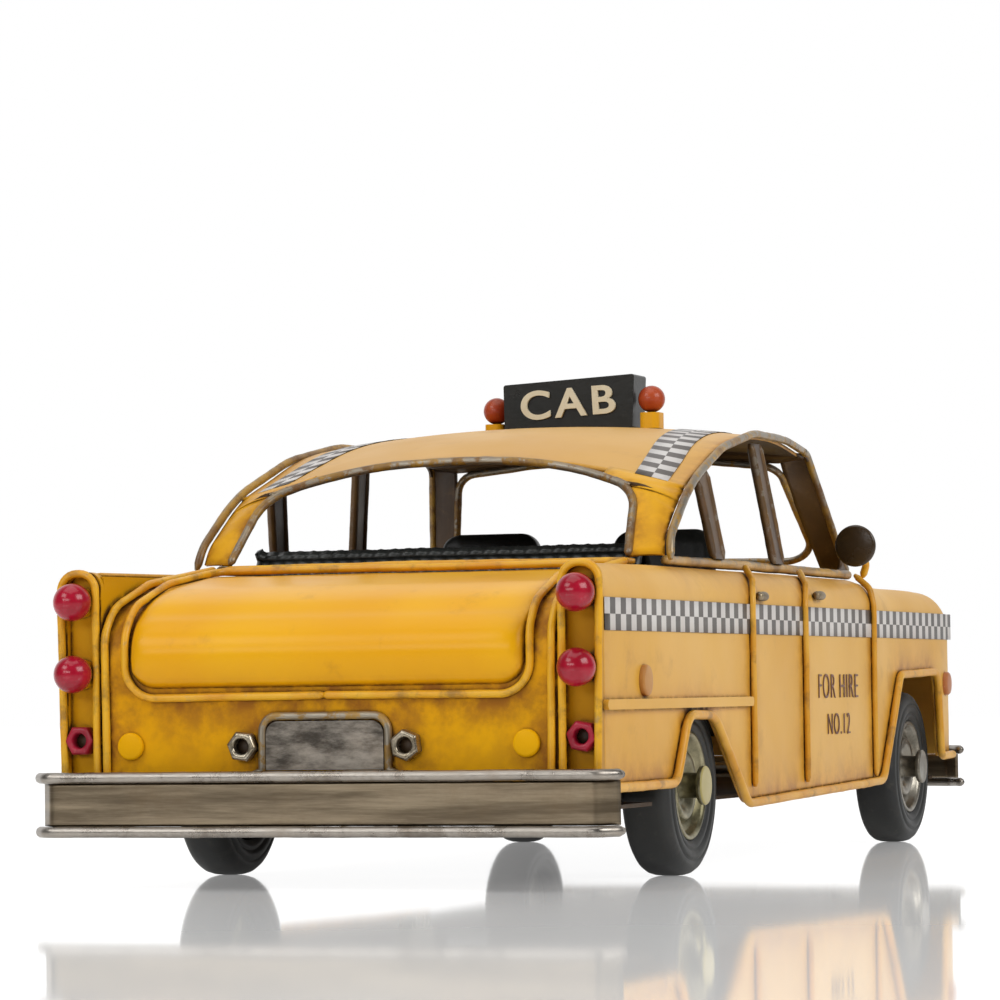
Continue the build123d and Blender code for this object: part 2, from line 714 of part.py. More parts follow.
# ---------------------------------------------------------------- cabin
with BuildPart() as rear_seat:
    with BuildSketch(Plane.XZ) as bench_outline:
        with BuildLine():
            Polyline(
                (-79.0, 39.5), (-34.0, 39.5), (-34.0, 46.0), (-60.0, 45.5), (-66.0, 68.4), (-74.0, 68.4),
                (-79.0, 39.5),
            )
        make_face()
        fillet(bench_outline.vertices().group_by(Axis.Y)[-1], 2.4)
    extrude(amount=46.0, both=True)
finish("rear_seat", rear_seat)

seat_inner_y = 9.0
seat_outer_y = 33.0
with BuildPart() as front_seats:
    for side, _ in side_names:
        middle = side * (seat_inner_y + seat_outer_y) / 2
        with BuildSketch(Plane.YZ.offset(12.0)) as back_outline:
            with Locations((middle, 51.2)):
                Rectangle(seat_outer_y - seat_inner_y, 48.0)
            fillet(back_outline.vertices().group_by(Axis.Y)[-1], 4.0)
        extrude(amount=6.0)
        with BuildSketch(Plane.XY.offset(27.2)):
            with Locations((29.0, middle)):
                RectangleRounded(22.0, seat_outer_y - seat_inner_y, 2.0)
        extrude(amount=10.8)
finish("front_seats", front_seats)

with BuildPart() as dashboard:
    with BuildSketch(Plane.XZ) as dash_outline:
        with BuildLine():
            Polyline((50.0, 62.4), (50.0, 50.0), (46.0, 52.0), (44.6, 61.0), (46.4, 62.4), (50.0, 62.4))
        make_face()
    extrude(amount=47.6, both=True)
finish("dashboard", dashboard)

column_y = 23.6
wheel_ring = 8.6
wheel_tube = 0.9
wheel_tilt = radians(24)
column_direction = Vector(-cos(wheel_tilt), 0, sin(wheel_tilt))
wheel_rise = Vector(sin(wheel_tilt), 0, cos(wheel_tilt))
wheel_centre = Vector(34.4, column_y, 64.8)
column_foot = wheel_centre - column_direction * 10.0
column_end = wheel_centre - column_direction * 1.4
with BuildPart() as steering_column:
    with BuildSketch(Plane(origin=column_foot, z_dir=column_direction)):
        Circle(1.5)
    extrude(amount=(column_end - column_foot).length)
    with BuildSketch(Plane(origin=column_end, z_dir=-column_direction)):
        Circle(0.6)
    extrude(amount=4.0, mode=Mode.SUBTRACT)
finish("steering_column", steering_column)

with BuildPart() as steering_wheel:
    with Locations(Plane(origin=wheel_centre, z_dir=column_direction)):
        Torus(wheel_ring, wheel_tube)
    for turn in (0, 120, 240):
        swing = radians(turn)
        spoke = wheel_rise * cos(swing) + Vector(0, 1, 0) * sin(swing)
        with BuildSketch(Plane(origin=wheel_centre + spoke * 1.2, z_dir=spoke)):
            Circle(0.6)
        extrude(amount=wheel_ring - 1.4)
    with BuildSketch(Plane(origin=wheel_centre - column_direction * 1.3, z_dir=column_direction)):
        Circle(1.8)
    extrude(amount=2.6)
    with BuildSketch(Plane(origin=column_end - column_direction * 3.6, z_dir=column_direction)):
        Circle(0.55)
    extrude(amount=4.0)
finish("steering_wheel", steering_wheel)

# ---------------------------------------------------------------- wheels and axles
tyre_half = tyre_width / 2


def add_tyre(axle_x, half_track, side):
    """Moulded tyre: flat tread, rounded shoulders and a raised band on each wall."""
    origin = (axle_x, side * half_track, tyre_radius)
    with BuildSketch(plane_at(origin, (1, 0, 0), (0, 0, 1))) as tyre_profile:
        with BuildLine():
            Polyline(
                (rim_radius, -4.2), (12.2, -tyre_half), (15.6, -tyre_half), (tyre_radius, 2.6 - tyre_half),
                (tyre_radius, tyre_half - 2.6), (15.6, tyre_half), (12.2, tyre_half), (rim_radius, 4.2),
                (rim_radius, -4.2),
            )
        make_face()
        fillet(tyre_profile.vertices().group_by(Axis.X)[-1], 1.2)
    revolve(tyre_profile.sketch, axis=Axis(origin, (0, 1, 0)))


def add_rim(axle_x, half_track, side):
    """Dished rim with a stepped face, a hub boss and a flat cap."""
    origin = (axle_x, side * half_track, tyre_radius)
    outline = (
        (axle_radius, -4.0), (3.4, -4.0), (3.4, -1.6), (rim_radius, -1.6), (rim_radius, 4.6),
        (10.2, 4.6), (9.6, 2.8), (7.4, 2.4), (6.6, 3.6), (4.6, 4.0), (2.6, 4.6), (2.6, 6.8),
        (4.0, 6.8), (4.0, 8.0), (axle_radius, 8.0), (axle_radius, -4.0),
    )
    with BuildSketch(plane_at(origin, (1, 0, 0), (0, 0, 1))) as rim_profile:
        with BuildLine():
            Polyline(*[(radius, side * along) for radius, along in outline])
        make_face()
    revolve(rim_profile.sketch, axis=Axis(origin, (0, 1, 0)))


for axle_name, axle_x, half_track in (
    ("rear", rear_axle_x, rear_half_track), ("front", front_axle_x, front_half_track)
):
    with BuildPart() as axle:
        with BuildSketch(Plane.XZ):
            with Locations((axle_x, tyre_radius)):
                Circle(axle_radius)
        extrude(amount=half_track + 7.8, both=True)
    finish(f"{axle_name}_axle", axle)

    with BuildPart() as tyres:
        for side, _ in side_names:
            add_tyre(axle_x, half_track, side)
    finish(f"{axle_name}_tyres", tyres)

    with BuildPart() as rims:
        for side, _ in side_names:
            add_rim(axle_x, half_track, side)
    finish(f"{axle_name}_rims", rims)

axle_bracket_y = 34.0
with BuildPart() as axle_brackets:
    for side, _ in side_names:
        with BuildSketch(Plane.XZ.offset(-side * axle_bracket_y)):
            with BuildLine():
                Polyline(
                    (front_axle_x - 7, pan_top + 0.02), (front_axle_x + 7, pan_top + 0.02),
                    (front_axle_x + 4, 24.0), (front_axle_x - 4, 24.0), (front_axle_x - 7, pan_top + 0.02),
                )
            make_face()
            with Locations((front_axle_x, tyre_radius)):
                Circle(axle_radius + running_gap, mode=Mode.SUBTRACT)
        extrude(amount=-side * 1.2)
finish("axle_brackets", axle_brackets)

# ---------------------------------------------------------------- friction drive
gear_module = 0.8
wheel_teeth = 24
pinion_teeth = 8
centre_distance = gear_module * (wheel_teeth + pinion_teeth) / 2
train_angle = 150.0     # direction of the train from the rear axle, up and rearwards
train_x = cos(radians(train_angle))
train_z = sin(radians(train_angle))
lay_x = rear_axle_x + centre_distance * train_x
lay_z = tyre_radius + centre_distance * train_z
fly_x = rear_axle_x + 2 * centre_distance * train_x
fly_z = tyre_radius + 2 * centre_distance * train_z
shaft_radius = 1.0
first_stage_y = 6.0
second_stage_y = -1.5
gear_face = 3.0


def add_gear(place, teeth, low_y, face, bore, phase):
    """Spur gear with straight-flanked teeth; a tooth stands at the phase angle in the XZ plane."""
    pitch_radius = gear_module * teeth / 2
    root = pitch_radius - 1.15 * gear_module
    tip = pitch_radius + 0.72 * gear_module
    half_pitch = 0.19 * 2 * 180 / teeth
    with BuildSketch(Plane(origin=(place[0], low_y, place[1]), x_dir=(1, 0, 0), z_dir=(0, -1, 0))) as blank:
        Circle(root)
        for tooth in range(teeth):
            middle = phase + tooth * 360 / teeth
            corners = []
            for radius, spread in ((root - 0.2, -1.5), (tip, -0.62), (tip, 0.62), (root - 0.2, 1.5)):
                angle = radians(middle + spread * half_pitch)
                corners.append((radius * cos(angle), radius * sin(angle)))
            with BuildLine():
                Polyline(*corners, close=True)
            make_face()
        if bore:
            Circle(bore, mode=Mode.SUBTRACT)
    extrude(blank.sketch, amount=-face)


pinion_phase = train_angle + 180 / pinion_teeth
with BuildPart() as drive_gear:
    place = (rear_axle_x, tyre_radius)
    add_gear(place, wheel_teeth, first_stage_y, gear_face, axle_radius, train_angle)
finish("drive_gear", drive_gear)

with BuildPart() as layshaft:
    with BuildSketch(Plane.XZ):
        with Locations((lay_x, lay_z)):
            Circle(shaft_radius)
    extrude(amount=14.8, both=True)
    add_gear((lay_x, lay_z), pinion_teeth, first_stage_y - 0.3, gear_face + 0.6, 0, pinion_phase + 180)
finish("layshaft", layshaft)

with BuildPart() as layshaft_gear:
    add_gear((lay_x, lay_z), wheel_teeth, second_stage_y, gear_face, shaft_radius, train_angle)
finish("layshaft_gear", layshaft_gear)

with BuildPart() as flywheel_shaft:
    with BuildSketch(Plane.XZ):
        with Locations((fly_x, fly_z)):
            Circle(shaft_radius)
    extrude(amount=14.8, both=True)
    add_gear((fly_x, fly_z), pinion_teeth, second_stage_y - 0.3, gear_face + 0.6, 0, pinion_phase + 180)
finish("flywheel_shaft", flywheel_shaft)

flywheel_radius = 10.6
with BuildPart() as flywheel:
    with BuildSketch(Plane.XZ.offset(4.2)):
        with Locations((fly_x, fly_z)):
            Circle(flywheel_radius)
            Circle(shaft_radius, mode=Mode.SUBTRACT)
    extrude(amount=6.6)
    fillet(flywheel.edges().filter_by(GeomType.CIRCLE).group_by(SortBy.RADIUS)[-1], 0.8)
finish("flywheel", flywheel)

plate_y = 13.2
with BuildPart() as motor_plates:
    for side, _ in side_names:
        with BuildSketch(Plane.XZ.offset(-side * plate_y)) as plate_outline:
            with BuildLine():
                Polyline(
                    (-67.0, pan_top + 0.02), (-67.0, 24.0), (-79.0, 32.0), (fly_x + 4, 42.0),
                    (fly_x - 6, 42.0), (fly_x - 8, 30.0), (fly_x - 4, pan_top + 0.02),
                    (-67.0, pan_top + 0.02),
                )
            make_face()
            fillet(plate_outline.vertices().filter_by_position(Axis.Y, 20, 60), 2.0)
            with Locations((rear_axle_x, tyre_radius)):
                Circle(axle_radius + running_gap, mode=Mode.SUBTRACT)
            with Locations((lay_x, lay_z), (fly_x, fly_z)):
                Circle(shaft_radius + running_gap, mode=Mode.SUBTRACT)
        extrude(amount=-side * 1.2)
finish("motor_plates", motor_plates)
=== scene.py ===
"""Looks of the friction-drive tin taxi: hand-painted tin panels, soldered wire trim and worn metal.

Lengths in this script are in millimetres in the part's own frame (X forward, Y left, Z up), turned
into metres where a mesh is made.
"""
import math

import bpy
import numpy as np
from mathutils import Matrix, Vector, noise
from mathutils.kdtree import KDTree


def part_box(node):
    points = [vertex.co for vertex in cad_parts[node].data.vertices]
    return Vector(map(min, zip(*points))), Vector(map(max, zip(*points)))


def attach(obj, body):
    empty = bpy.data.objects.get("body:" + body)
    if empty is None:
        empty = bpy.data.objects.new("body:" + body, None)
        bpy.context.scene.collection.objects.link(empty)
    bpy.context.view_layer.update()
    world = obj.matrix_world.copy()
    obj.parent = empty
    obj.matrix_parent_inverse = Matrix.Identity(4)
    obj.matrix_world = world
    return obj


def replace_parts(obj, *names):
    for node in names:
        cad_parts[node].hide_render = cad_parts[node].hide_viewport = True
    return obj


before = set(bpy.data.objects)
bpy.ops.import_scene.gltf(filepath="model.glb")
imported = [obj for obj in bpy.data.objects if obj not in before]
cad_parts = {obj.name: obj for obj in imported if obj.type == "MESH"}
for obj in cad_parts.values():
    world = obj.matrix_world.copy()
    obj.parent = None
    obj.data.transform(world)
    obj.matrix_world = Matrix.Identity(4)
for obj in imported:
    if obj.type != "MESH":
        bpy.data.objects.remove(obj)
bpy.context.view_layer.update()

MM = 0.001
BODY = "car_body"
SIDES = (1, -1)
wire_points = []        # samples along every trim wire, for the wash that gathers beside them


# ---------------------------------------------------------------- numbers shared with the CAD model
def box_mm(node):
    """Lowest and highest corner of a CAD node, in millimetres."""
    low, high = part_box(node)
    return Vector(low) / MM, Vector(high) / MM


REAR_FACE = box_mm("rear_panel")[0].x
NOSE_FACE = box_mm("nose_panel")[1].x
SIDE_Y = box_mm("side_panel_left")[1].y
TYRE_RADIUS = box_mm("rear_tyres")[1].z / 2
REAR_BUMPER_HALF = 63.0
REAR_AXLE = sum((box_mm("rear_axle")[i].x for i in (0, 1))) / 2
FRONT_AXLE = sum((box_mm("front_axle")[i].x for i in (0, 1))) / 2
SHEET = 0.8
TRIM = 1.8
EDGE = 2.2
SILL_WIRE = 1.95         # hammered wires come out a little thinner than the CAD rods
DOOR_WIRE = 1.5
LID_WIRE = 1.6
RAIL_WIRE = 1.8
BUMPER_WIRE = 2.6
GAP = 0.1
SHOULDER = 6.8
BELT_Z = 63.9


def curve(*stops):
    """Smooth function of one variable through (x, value) stops."""
    xs = np.array([s[0] for s in stops], float)
    ys = np.array([s[1] for s in stops], float)
    slopes = np.gradient(ys, xs)
    for i in range(1, len(xs) - 1):
        before = ys[i] - ys[i - 1]
        after = ys[i + 1] - ys[i]
        if before * after <= 0:
            slopes[i] = 0.0

    def value(x):
        x = min(max(x, xs[0]), xs[-1])
        i = min(int(np.searchsorted(xs, x, side="right")) - 1, len(xs) - 2)
        span = xs[i + 1] - xs[i]
        t = (x - xs[i]) / span
        a = 2 * t**3 - 3 * t**2 + 1
        b = t**3 - 2 * t**2 + t
        c = -2 * t**3 + 3 * t**2
        d = t**3 - t**2
        return a * ys[i] + b * span * slopes[i] + c * ys[i + 1] + d * span * slopes[i + 1]

    return value


def rounded(points, radii, step=1.2):
    """Points along straight runs joined by tangent arcs of the given radii."""
    points = [Vector(p) for p in points]
    out = [points[0]]
    for corner, radius in zip(range(1, len(points) - 1), radii):
        before, here, after = points[corner - 1], points[corner], points[corner + 1]
        into = (here - before).normalized()
        away = (after - here).normalized()
        turn = into.angle(away)
        if turn < 0.01:
            out.append(here)
            continue
        reach = radius * math.tan(turn / 2)
        start, end = here - into * reach, here + away * reach
        inward = (away - into).normalized()
        centre = here + inward * (radius / math.cos(turn / 2))
        steps = max(3, int(radius * turn / step) + 1)
        first = start - centre
        last = end - centre
        for i in range(steps + 1):
            t = i / steps
            blend = (first * math.sin((1 - t) * turn) + last * math.sin(t * turn)) / math.sin(turn)
            out.append(centre + blend)
    out.append(points[-1])
    path = [out[0]]
    for a, b in zip(out, out[1:]):
        pieces = max(1, int((b - a).length / step))
        for i in range(1, pieces + 1):
            path.append(a.lerp(b, i / pieces))
    return path


def drift(x, y, z, scale, seed=0.0):
    """Slow noise between -1 and 1 at a point in millimetres."""
    return noise.noise(Vector((x * scale + seed, y * scale - seed, z * scale + 2 * seed)))


# ---------------------------------------------------------------- node materials
class Shade:
    """Short-hand for building a node material."""

    def __init__(self, name):
        self.material = bpy.data.materials.new(name)
        self.material.use_nodes = True
        self.tree = self.material.node_tree
        self.shader = self.tree.nodes["Principled BSDF"]
        self.where = self.tree.nodes.new("ShaderNodeTexCoord").outputs["Object"]

    def link(self, source, target):
        self.tree.links.new(source, target)

    def feed(self, socket, value):
        if isinstance(value, bpy.types.NodeSocket):
            self.link(value, socket)
        else:
            socket.default_value = value

    def noise(self, scale, detail=3.0, rough=0.55, stretch=None):
        node = self.tree.nodes.new("ShaderNodeTexNoise")
        node.inputs["Scale"].default_value = scale
        node.inputs["Detail"].default_value = detail
        node.inputs["Roughness"].default_value = rough
        source = self.where
        if stretch:
            mapping = self.tree.nodes.new("ShaderNodeMapping")
            mapping.inputs["Scale"].default_value = stretch
            self.link(source, mapping.inputs["Vector"])
            source = mapping.outputs["Vector"]
        self.link(source, node.inputs["Vector"])
        return node.outputs["Fac"]

    def ramp(self, value, low, high):
        node = self.tree.nodes.new("ShaderNodeMapRange")
        node.interpolation_type = "SMOOTHSTEP"
        self.link(value, node.inputs["Value"])
        node.inputs["From Min"].default_value = low
        node.inputs["From Max"].default_value = high
        return node.outputs["Result"]

    def math(self, operation, a, b=0.0, clamp=False):
        node = self.tree.nodes.new("ShaderNodeMath")
        node.operation = operation
        node.use_clamp = clamp
        self.feed(node.inputs[0], a)
        self.feed(node.inputs[1], b)
        return node.outputs[0]

    def mix(self, factor, a, b):
        node = self.tree.nodes.new("ShaderNodeMix")
        node.data_type = "RGBA"
        self.feed(node.inputs["Factor"], factor)
        self.feed(node.inputs["A"], (*a, 1) if isinstance(a, tuple) else a)
        self.feed(node.inputs["B"], (*b, 1) if isinstance(b, tuple) else b)
        return node.outputs["Result"]

    def crevice(self, reach):
        """1 deep in a corner, 0 in the open."""
        node = self.tree.nodes.new("ShaderNodeAmbientOcclusion")
        node.samples = 8
        node.inputs["Distance"].default_value = reach * MM
        return self.math("SUBTRACT", 1.0, node.outputs["AO"], clamp=True)

    def attribute(self, name):
        node = self.tree.nodes.new("ShaderNodeAttribute")
        node.attribute_name = name
        return node.outputs["Fac"]

    def bump(self, height, strength, distance=0.2):
        node = self.tree.nodes.new("ShaderNodeBump")
        node.inputs["Strength"].default_value = strength
        node.inputs["Distance"].default_value = distance * MM
        self.link(height, node.inputs["Height"])
        self.link(node.outputs["Normal"], self.shader.inputs["Normal"])

    def set(self, **values):
        for name, value in values.items():
            self.feed(self.shader.inputs[name.replace("_", " ")], value)
        return self.material


BROWN = (0.085, 0.036, 0.010)
UMBER = (0.030, 0.016, 0.008)
STEEL = (0.30, 0.27, 0.22)


def paint(name, deep, pale, wash=1.0, chips=0.35, rough=0.36, stain=(0.34, 0.13, 0.012), gloss=0.35):
    """Hand-brushed enamel with a brown wash in the corners and stains near the wires."""
    s = Shade(name)
    colour = s.mix(s.ramp(s.noise(22, 2), 0.36, 0.66), deep, pale)
    colour = s.mix(s.math("MULTIPLY", s.ramp(s.noise(95, 6, 0.65), 0.56, 0.78), 0.30), colour, stain)
    crevice = s.ramp(s.crevice(1.8), 0.22, 0.72)
    near = s.attribute("grime")
    colour = s.mix(s.math("MULTIPLY", near, 0.55), colour, (0.66, 0.29, 0.008))
    patch = s.ramp(s.noise(150, 5, 0.62), 0.32, 0.68)
    film = s.math("MULTIPLY", s.math("MULTIPLY", near, patch), 0.85 * wash, clamp=True)
    colour = s.mix(film, colour, stain)
    line = s.math("MULTIPLY", crevice, s.ramp(s.noise(420, 4), 0.25, 0.60))
    line = s.math("MULTIPLY", line, 0.95 * wash, clamp=True)
    colour = s.mix(line, colour, BROWN)
    speck = s.math("MULTIPLY", s.ramp(s.noise(900, 3, 0.7), 0.70, 0.74), chips)
    near_speck = s.math("MULTIPLY", speck, s.math("ADD", near, 0.12, clamp=True))
    colour = s.mix(near_speck, colour, UMBER)
    roughness = s.math("ADD", s.math("MULTIPLY", s.noise(60, 4), 0.16), rough - 0.08)
    roughness = s.math("ADD", roughness, s.math("MULTIPLY", line, 0.25))
    relief = s.math("ADD", s.noise(330, 4, 0.6), s.math("MULTIPLY", s.noise(30, 2), 1.6))
    s.bump(relief, 0.35, 0.12)
    return s.set(Base_Color=colour, Roughness=roughness, Specular_IOR_Level=gloss)


def wire_paint(name, deep, pale, bare=0.35, dark=0.5):
    """Paint on a wire: worn to metal along the ridge, black-brown along the feet."""
    s = Shade(name)
    colour = s.mix(s.ramp(s.noise(70, 4), 0.35, 0.65), deep, pale)
    smear = s.ramp(s.noise(160, 5, 0.65), 0.62 - 0.22 * dark, 0.80 - 0.16 * dark)
    colour = s.mix(s.math("MULTIPLY", smear, dark), colour, (0.13, 0.060, 0.018))
    foot = s.math("MULTIPLY", s.ramp(s.crevice(0.9), 0.35, 0.8), s.ramp(s.noise(350, 3), 0.22, 0.55))
    colour = s.mix(foot, colour, UMBER)
    ridge = s.attribute("ridge")
    flake = s.ramp(s.noise(260, 5, 0.7), 0.64 - 0.26 * bare, 0.68 - 0.22 * bare)
    metal = s.math("MULTIPLY", s.math("MULTIPLY", ridge, flake), min(1.0, bare * 2), clamp=True)
    colour = s.mix(metal, colour, STEEL)
    s.bump(s.noise(420, 4, 0.65), 0.5, 0.15)
    roughness = s.math("ADD", 0.30, s.math("MULTIPLY", s.noise(200, 3), 0.25))
    return s.set(Base_Color=colour, Metallic=metal, Roughness=roughness)


def metal(name, light, dark, rust=0.3, rough=0.34, stretch=(1, 60, 60), scratch=14):
    """Worn bare metal, brushed along one axis, with brown staining."""
    s = Shade(name)
    brushed = s.noise(scratch, 6, 0.7, stretch)
    colour = s.mix(s.ramp(brushed, 0.32, 0.70), dark, light)
    blot = s.math("MULTIPLY", s.ramp(s.noise(75, 6, 0.68), 0.46, 0.74), rust)
    colour = s.mix(blot, colour, (0.16, 0.105, 0.055))
    line = s.math("MULTIPLY", s.ramp(s.crevice(1.6), 0.25, 0.8), 0.9)
    colour = s.mix(line, colour, (0.03, 0.022, 0.015))
    roughness = s.math("ADD", rough - 0.08, s.math("MULTIPLY", brushed, 0.20))
    roughness = s.math("ADD", roughness, s.math("MULTIPLY", blot, 0.35), clamp=True)
    s.bump(s.math("ADD", brushed, s.math("MULTIPLY", s.noise(300, 5, 0.7), 0.8)), 0.30, 0.10)
    return s.set(Base_Color=colour, Metallic=0.92, Roughness=roughness)


def enamel(name, deep, pale, rough=0.16, coat=0.6, dust=0.25, fine=500):
    """Glossy bead paint with tiny scratches."""
    s = Shade(name)
    colour = s.mix(s.ramp(s.noise(140, 4), 0.35, 0.65), deep, pale)
    scratch = s.ramp(s.noise(fine, 4, 0.7, (1, 1, 0.25)), 0.66, 0.74)
    colour = s.mix(s.math("MULTIPLY", scratch, dust), colour, (0.75, 0.45, 0.40))
    colour = s.mix(s.ramp(s.crevice(1.2), 0.3, 0.9), colour, (0.10, 0.01, 0.01))
    roughness = s.math("ADD", rough, s.math("MULTIPLY", s.noise(220, 5), 0.16))
    s.bump(s.noise(fine, 3), 0.12, 0.08)
    return s.set(Base_Color=colour, Roughness=roughness, Specular_IOR_Level=0.3, Coat_Weight=coat * 0.6,
                 Coat_Roughness=0.08)


def matt(name, deep, pale, dust, rough=0.62, fine=260, strength=0.35, gloss=0.5):
    """Dull dark surface with pale dust in its grain: rubber, seats and inner tin."""
    s = Shade(name)
    colour = s.mix(s.ramp(s.noise(40, 4), 0.35, 0.68), deep, pale)
    colour = s.mix(s.math("MULTIPLY", s.ramp(s.noise(fine, 6, 0.7), 0.52, 0.80), 0.45), colour, dust)
    roughness = s.math("ADD", rough - 0.1, s.math("MULTIPLY", s.noise(120, 4), 0.24))
    s.bump(s.noise(fine * 2, 5, 0.65), strength, 0.12)
    return s.set(Base_Color=colour, Roughness=roughness, Specular_IOR_Level=gloss)


PAINT_REAR = paint("paint_rear", (0.780, 0.370, 0.001), (0.880, 0.460, 0.002), wash=1.35, gloss=0.08)
PAINT_LID = paint("paint_lid", (0.800, 0.370, 0.001), (0.860, 0.440, 0.002), wash=0.8, rough=0.30, gloss=0.22)
# Darker copy of the rear yellow for the recessed lamp housings: painted shade, with a heavier real wash on top.
PAINT_CHANNEL_SHADED = paint("paint_channel_shaded", (0.460, 0.210, 0.003), (0.700, 0.350, 0.004), wash=1.8, gloss=0.10)
PAINT_PILLAR = paint("paint_pillar", (0.740, 0.360, 0.006), (0.840, 0.460, 0.030), wash=1.3, gloss=0.12)
# Paler, less saturated yellow for the sides, hood and nose: painted sheen, the pale shine of the light on the sides
# baked into the paint colour.
PAINT_SIDE_SHEEN = paint("paint_side_sheen", (0.690, 0.360, 0.040), (0.760, 0.430, 0.080), wash=1.0, rough=0.42, gloss=0.28)
# Roof paint in the same pale, less saturated yellow as the sides: painted sheen baked into the paint colour.
PAINT_ROOF_SHEEN = paint("paint_roof_sheen", (0.640, 0.330, 0.040), (0.700, 0.390, 0.080), wash=1.0, rough=0.40, gloss=0.28)
WIRE_REAR = wire_paint("wire_rear", (0.700, 0.310, 0.002), (0.800, 0.430, 0.010), bare=0.16, dark=0.60)
WIRE_SIDE = wire_paint("wire_side", (0.660, 0.290, 0.006), (0.760, 0.400, 0.040), bare=0.08, dark=0.55)
WIRE_WORN = wire_paint("wire_worn", (0.220, 0.110, 0.016), (0.430, 0.240, 0.030), bare=0.70, dark=0.90)
WIRE_PLATE = wire_paint("wire_plate", (0.20, 0.11, 0.02), (0.40, 0.23, 0.05), bare=0.75, dark=0.75)
WIRE_DARK = wire_paint("wire_dark", (0.060, 0.030, 0.008), (0.160, 0.080, 0.018), bare=0.40, dark=0.85)
WIRE_BELT = wire_paint("wire_belt", (0.380, 0.200, 0.040), (0.600, 0.350, 0.090), bare=0.60, dark=0.65)
FRAME_BROWN = matt("frame_brown", (0.050, 0.024, 0.008), (0.110, 0.055, 0.016), (0.24, 0.13, 0.035), 0.42)
BUMPER_PLATE = metal("bumper_plate", (0.35, 0.28, 0.19), (0.15, 0.115, 0.075), rust=0.30, rough=0.34,
                     stretch=(1, 1, 16), scratch=22)
BUMPER_ROD = metal("bumper_rod", (0.46, 0.43, 0.39), (0.17, 0.145, 0.12), rust=0.45, rough=0.26,
                   stretch=(1, 1, 1), scratch=75)
CHROME = metal("chrome_nut", (0.52, 0.47, 0.38), (0.20, 0.165, 0.11), rust=0.45, rough=0.24, stretch=(1, 1, 1),
               scratch=160)
PLATE_METAL = metal("plate_metal", (0.36, 0.32, 0.27), (0.075, 0.065, 0.055), rust=0.2, rough=0.30,
                    stretch=(1, 1, 3), scratch=110)
HANDLE_METAL = metal("handle_metal", (0.40, 0.33, 0.22), (0.14, 0.10, 0.055), rust=0.6, rough=0.3,
                     stretch=(1, 1, 1), scratch=200)
GEAR_METAL = metal("gear_metal", (0.60, 0.57, 0.50), (0.40, 0.37, 0.32), rust=0.2, stretch=(1, 1, 1))
RED_BEAD = enamel("red_bead", (0.270, 0.002, 0.013), (0.400, 0.005, 0.026), coat=0.5, dust=0.35)
RED_NUT = enamel("red_nut", (0.250, 0.004, 0.018), (0.400, 0.015, 0.04), rough=0.25, coat=0.2, dust=0.35)
SIGN_BEAD = enamel("sign_bead", (0.330, 0.035, 0.010), (0.440, 0.070, 0.018), rough=0.28, coat=0.3)
MARKER = enamel("marker", (0.44, 0.18, 0.035), (0.52, 0.25, 0.06), rough=0.4, coat=0.1, dust=0.1)
MARKER_FRONT = enamel("marker_front", (0.40, 0.13, 0.04), (0.48, 0.18, 0.06), rough=0.35, coat=0.1)
TYRE_RUBBER = matt("tyre_rubber", (0.014, 0.015, 0.015), (0.028, 0.028, 0.025), (0.08, 0.072, 0.058), 0.50)
SEAT_TRIM = matt("seat_trim", (0.010, 0.012, 0.011), (0.026, 0.028, 0.026), (0.08, 0.09, 0.08), 0.34, 320)
SIGN_BLACK = matt("sign_black", (0.006, 0.006, 0.004), (0.014, 0.012, 0.008), (0.030, 0.026, 0.018), 0.30,
                  gloss=0.25)
INNER_TIN = matt("inner_tin", (0.030, 0.016, 0.006), (0.075, 0.040, 0.014), (0.16, 0.09, 0.03), 0.6)
CREAM = matt("letter_cream", (0.66, 0.60, 0.44), (0.74, 0.69, 0.54), (0.55, 0.46, 0.30), 0.5, 200, 0.2)
CHECK_WHITE = matt("check_white", (0.60, 0.56, 0.53), (0.66, 0.63, 0.60), (0.50, 0.45, 0.36), 0.42, 160, 0.1)
CHECK_DARK = matt("check_dark", (0.070, 0.058, 0.050), (0.110, 0.092, 0.080), (0.16, 0.13, 0.11), 0.42, 160, 0.1)
CHECK_BLACK = matt("check_black", (0.018, 0.014, 0.010), (0.030, 0.024, 0.018), (0.08, 0.06, 0.04), 0.42, 160, 0.1)
DOOR_INK = matt("door_ink", (0.16, 0.065, 0.045), (0.24, 0.11, 0.075), (0.42, 0.23, 0.12), 0.5)
RIM_REAR = metal("rim_rear", (0.46, 0.42, 0.28), (0.12, 0.11, 0.06), rust=0.30, rough=0.34, stretch=(1, 1, 1),
                 scratch=85)
RIM_FRONT = metal("rim_front", (0.40, 0.37, 0.31), (0.11, 0.10, 0.08), rust=0.30, rough=0.32, stretch=(1, 1, 1),
                  scratch=85)
CAP_REAR = matt("cap_rear", (0.380, 0.310, 0.090), (0.440, 0.370, 0.130), (0.46, 0.40, 0.2), 0.32, 200, 0.1)
MIRROR_BACK = matt("mirror_back", (0.022, 0.012, 0.004), (0.050, 0.028, 0.010), (0.12, 0.07, 0.02), 0.26, 260)


# ---------------------------------------------------------------- mesh helpers
def make_object(name, points, faces, materials, body=BODY, flat=False, marks=None, pick=None):
    """Object from points in millimetres; marks are float attributes, pick gives a material per face."""
    mesh = bpy.data.meshes.new(name)
    mesh.from_pydata([tuple(c * MM for c in p) for p in points], [], faces)
    for material in materials if isinstance(materials, (list, tuple)) else [materials]:
        mesh.materials.append(material)
    mesh.polygons.foreach_set("use_smooth", [not flat] * len(faces))
    if pick:
        mesh.polygons.foreach_set("material_index", pick)
    for mark, values in (marks or {}).items():
        mesh.attributes.new(mark, "FLOAT", "POINT").data.foreach_set("value", values)
    mesh.update()
    obj = bpy.data.objects.new(name, mesh)
    bpy.context.scene.collection.objects.link(obj)
    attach(obj, body)
    return obj


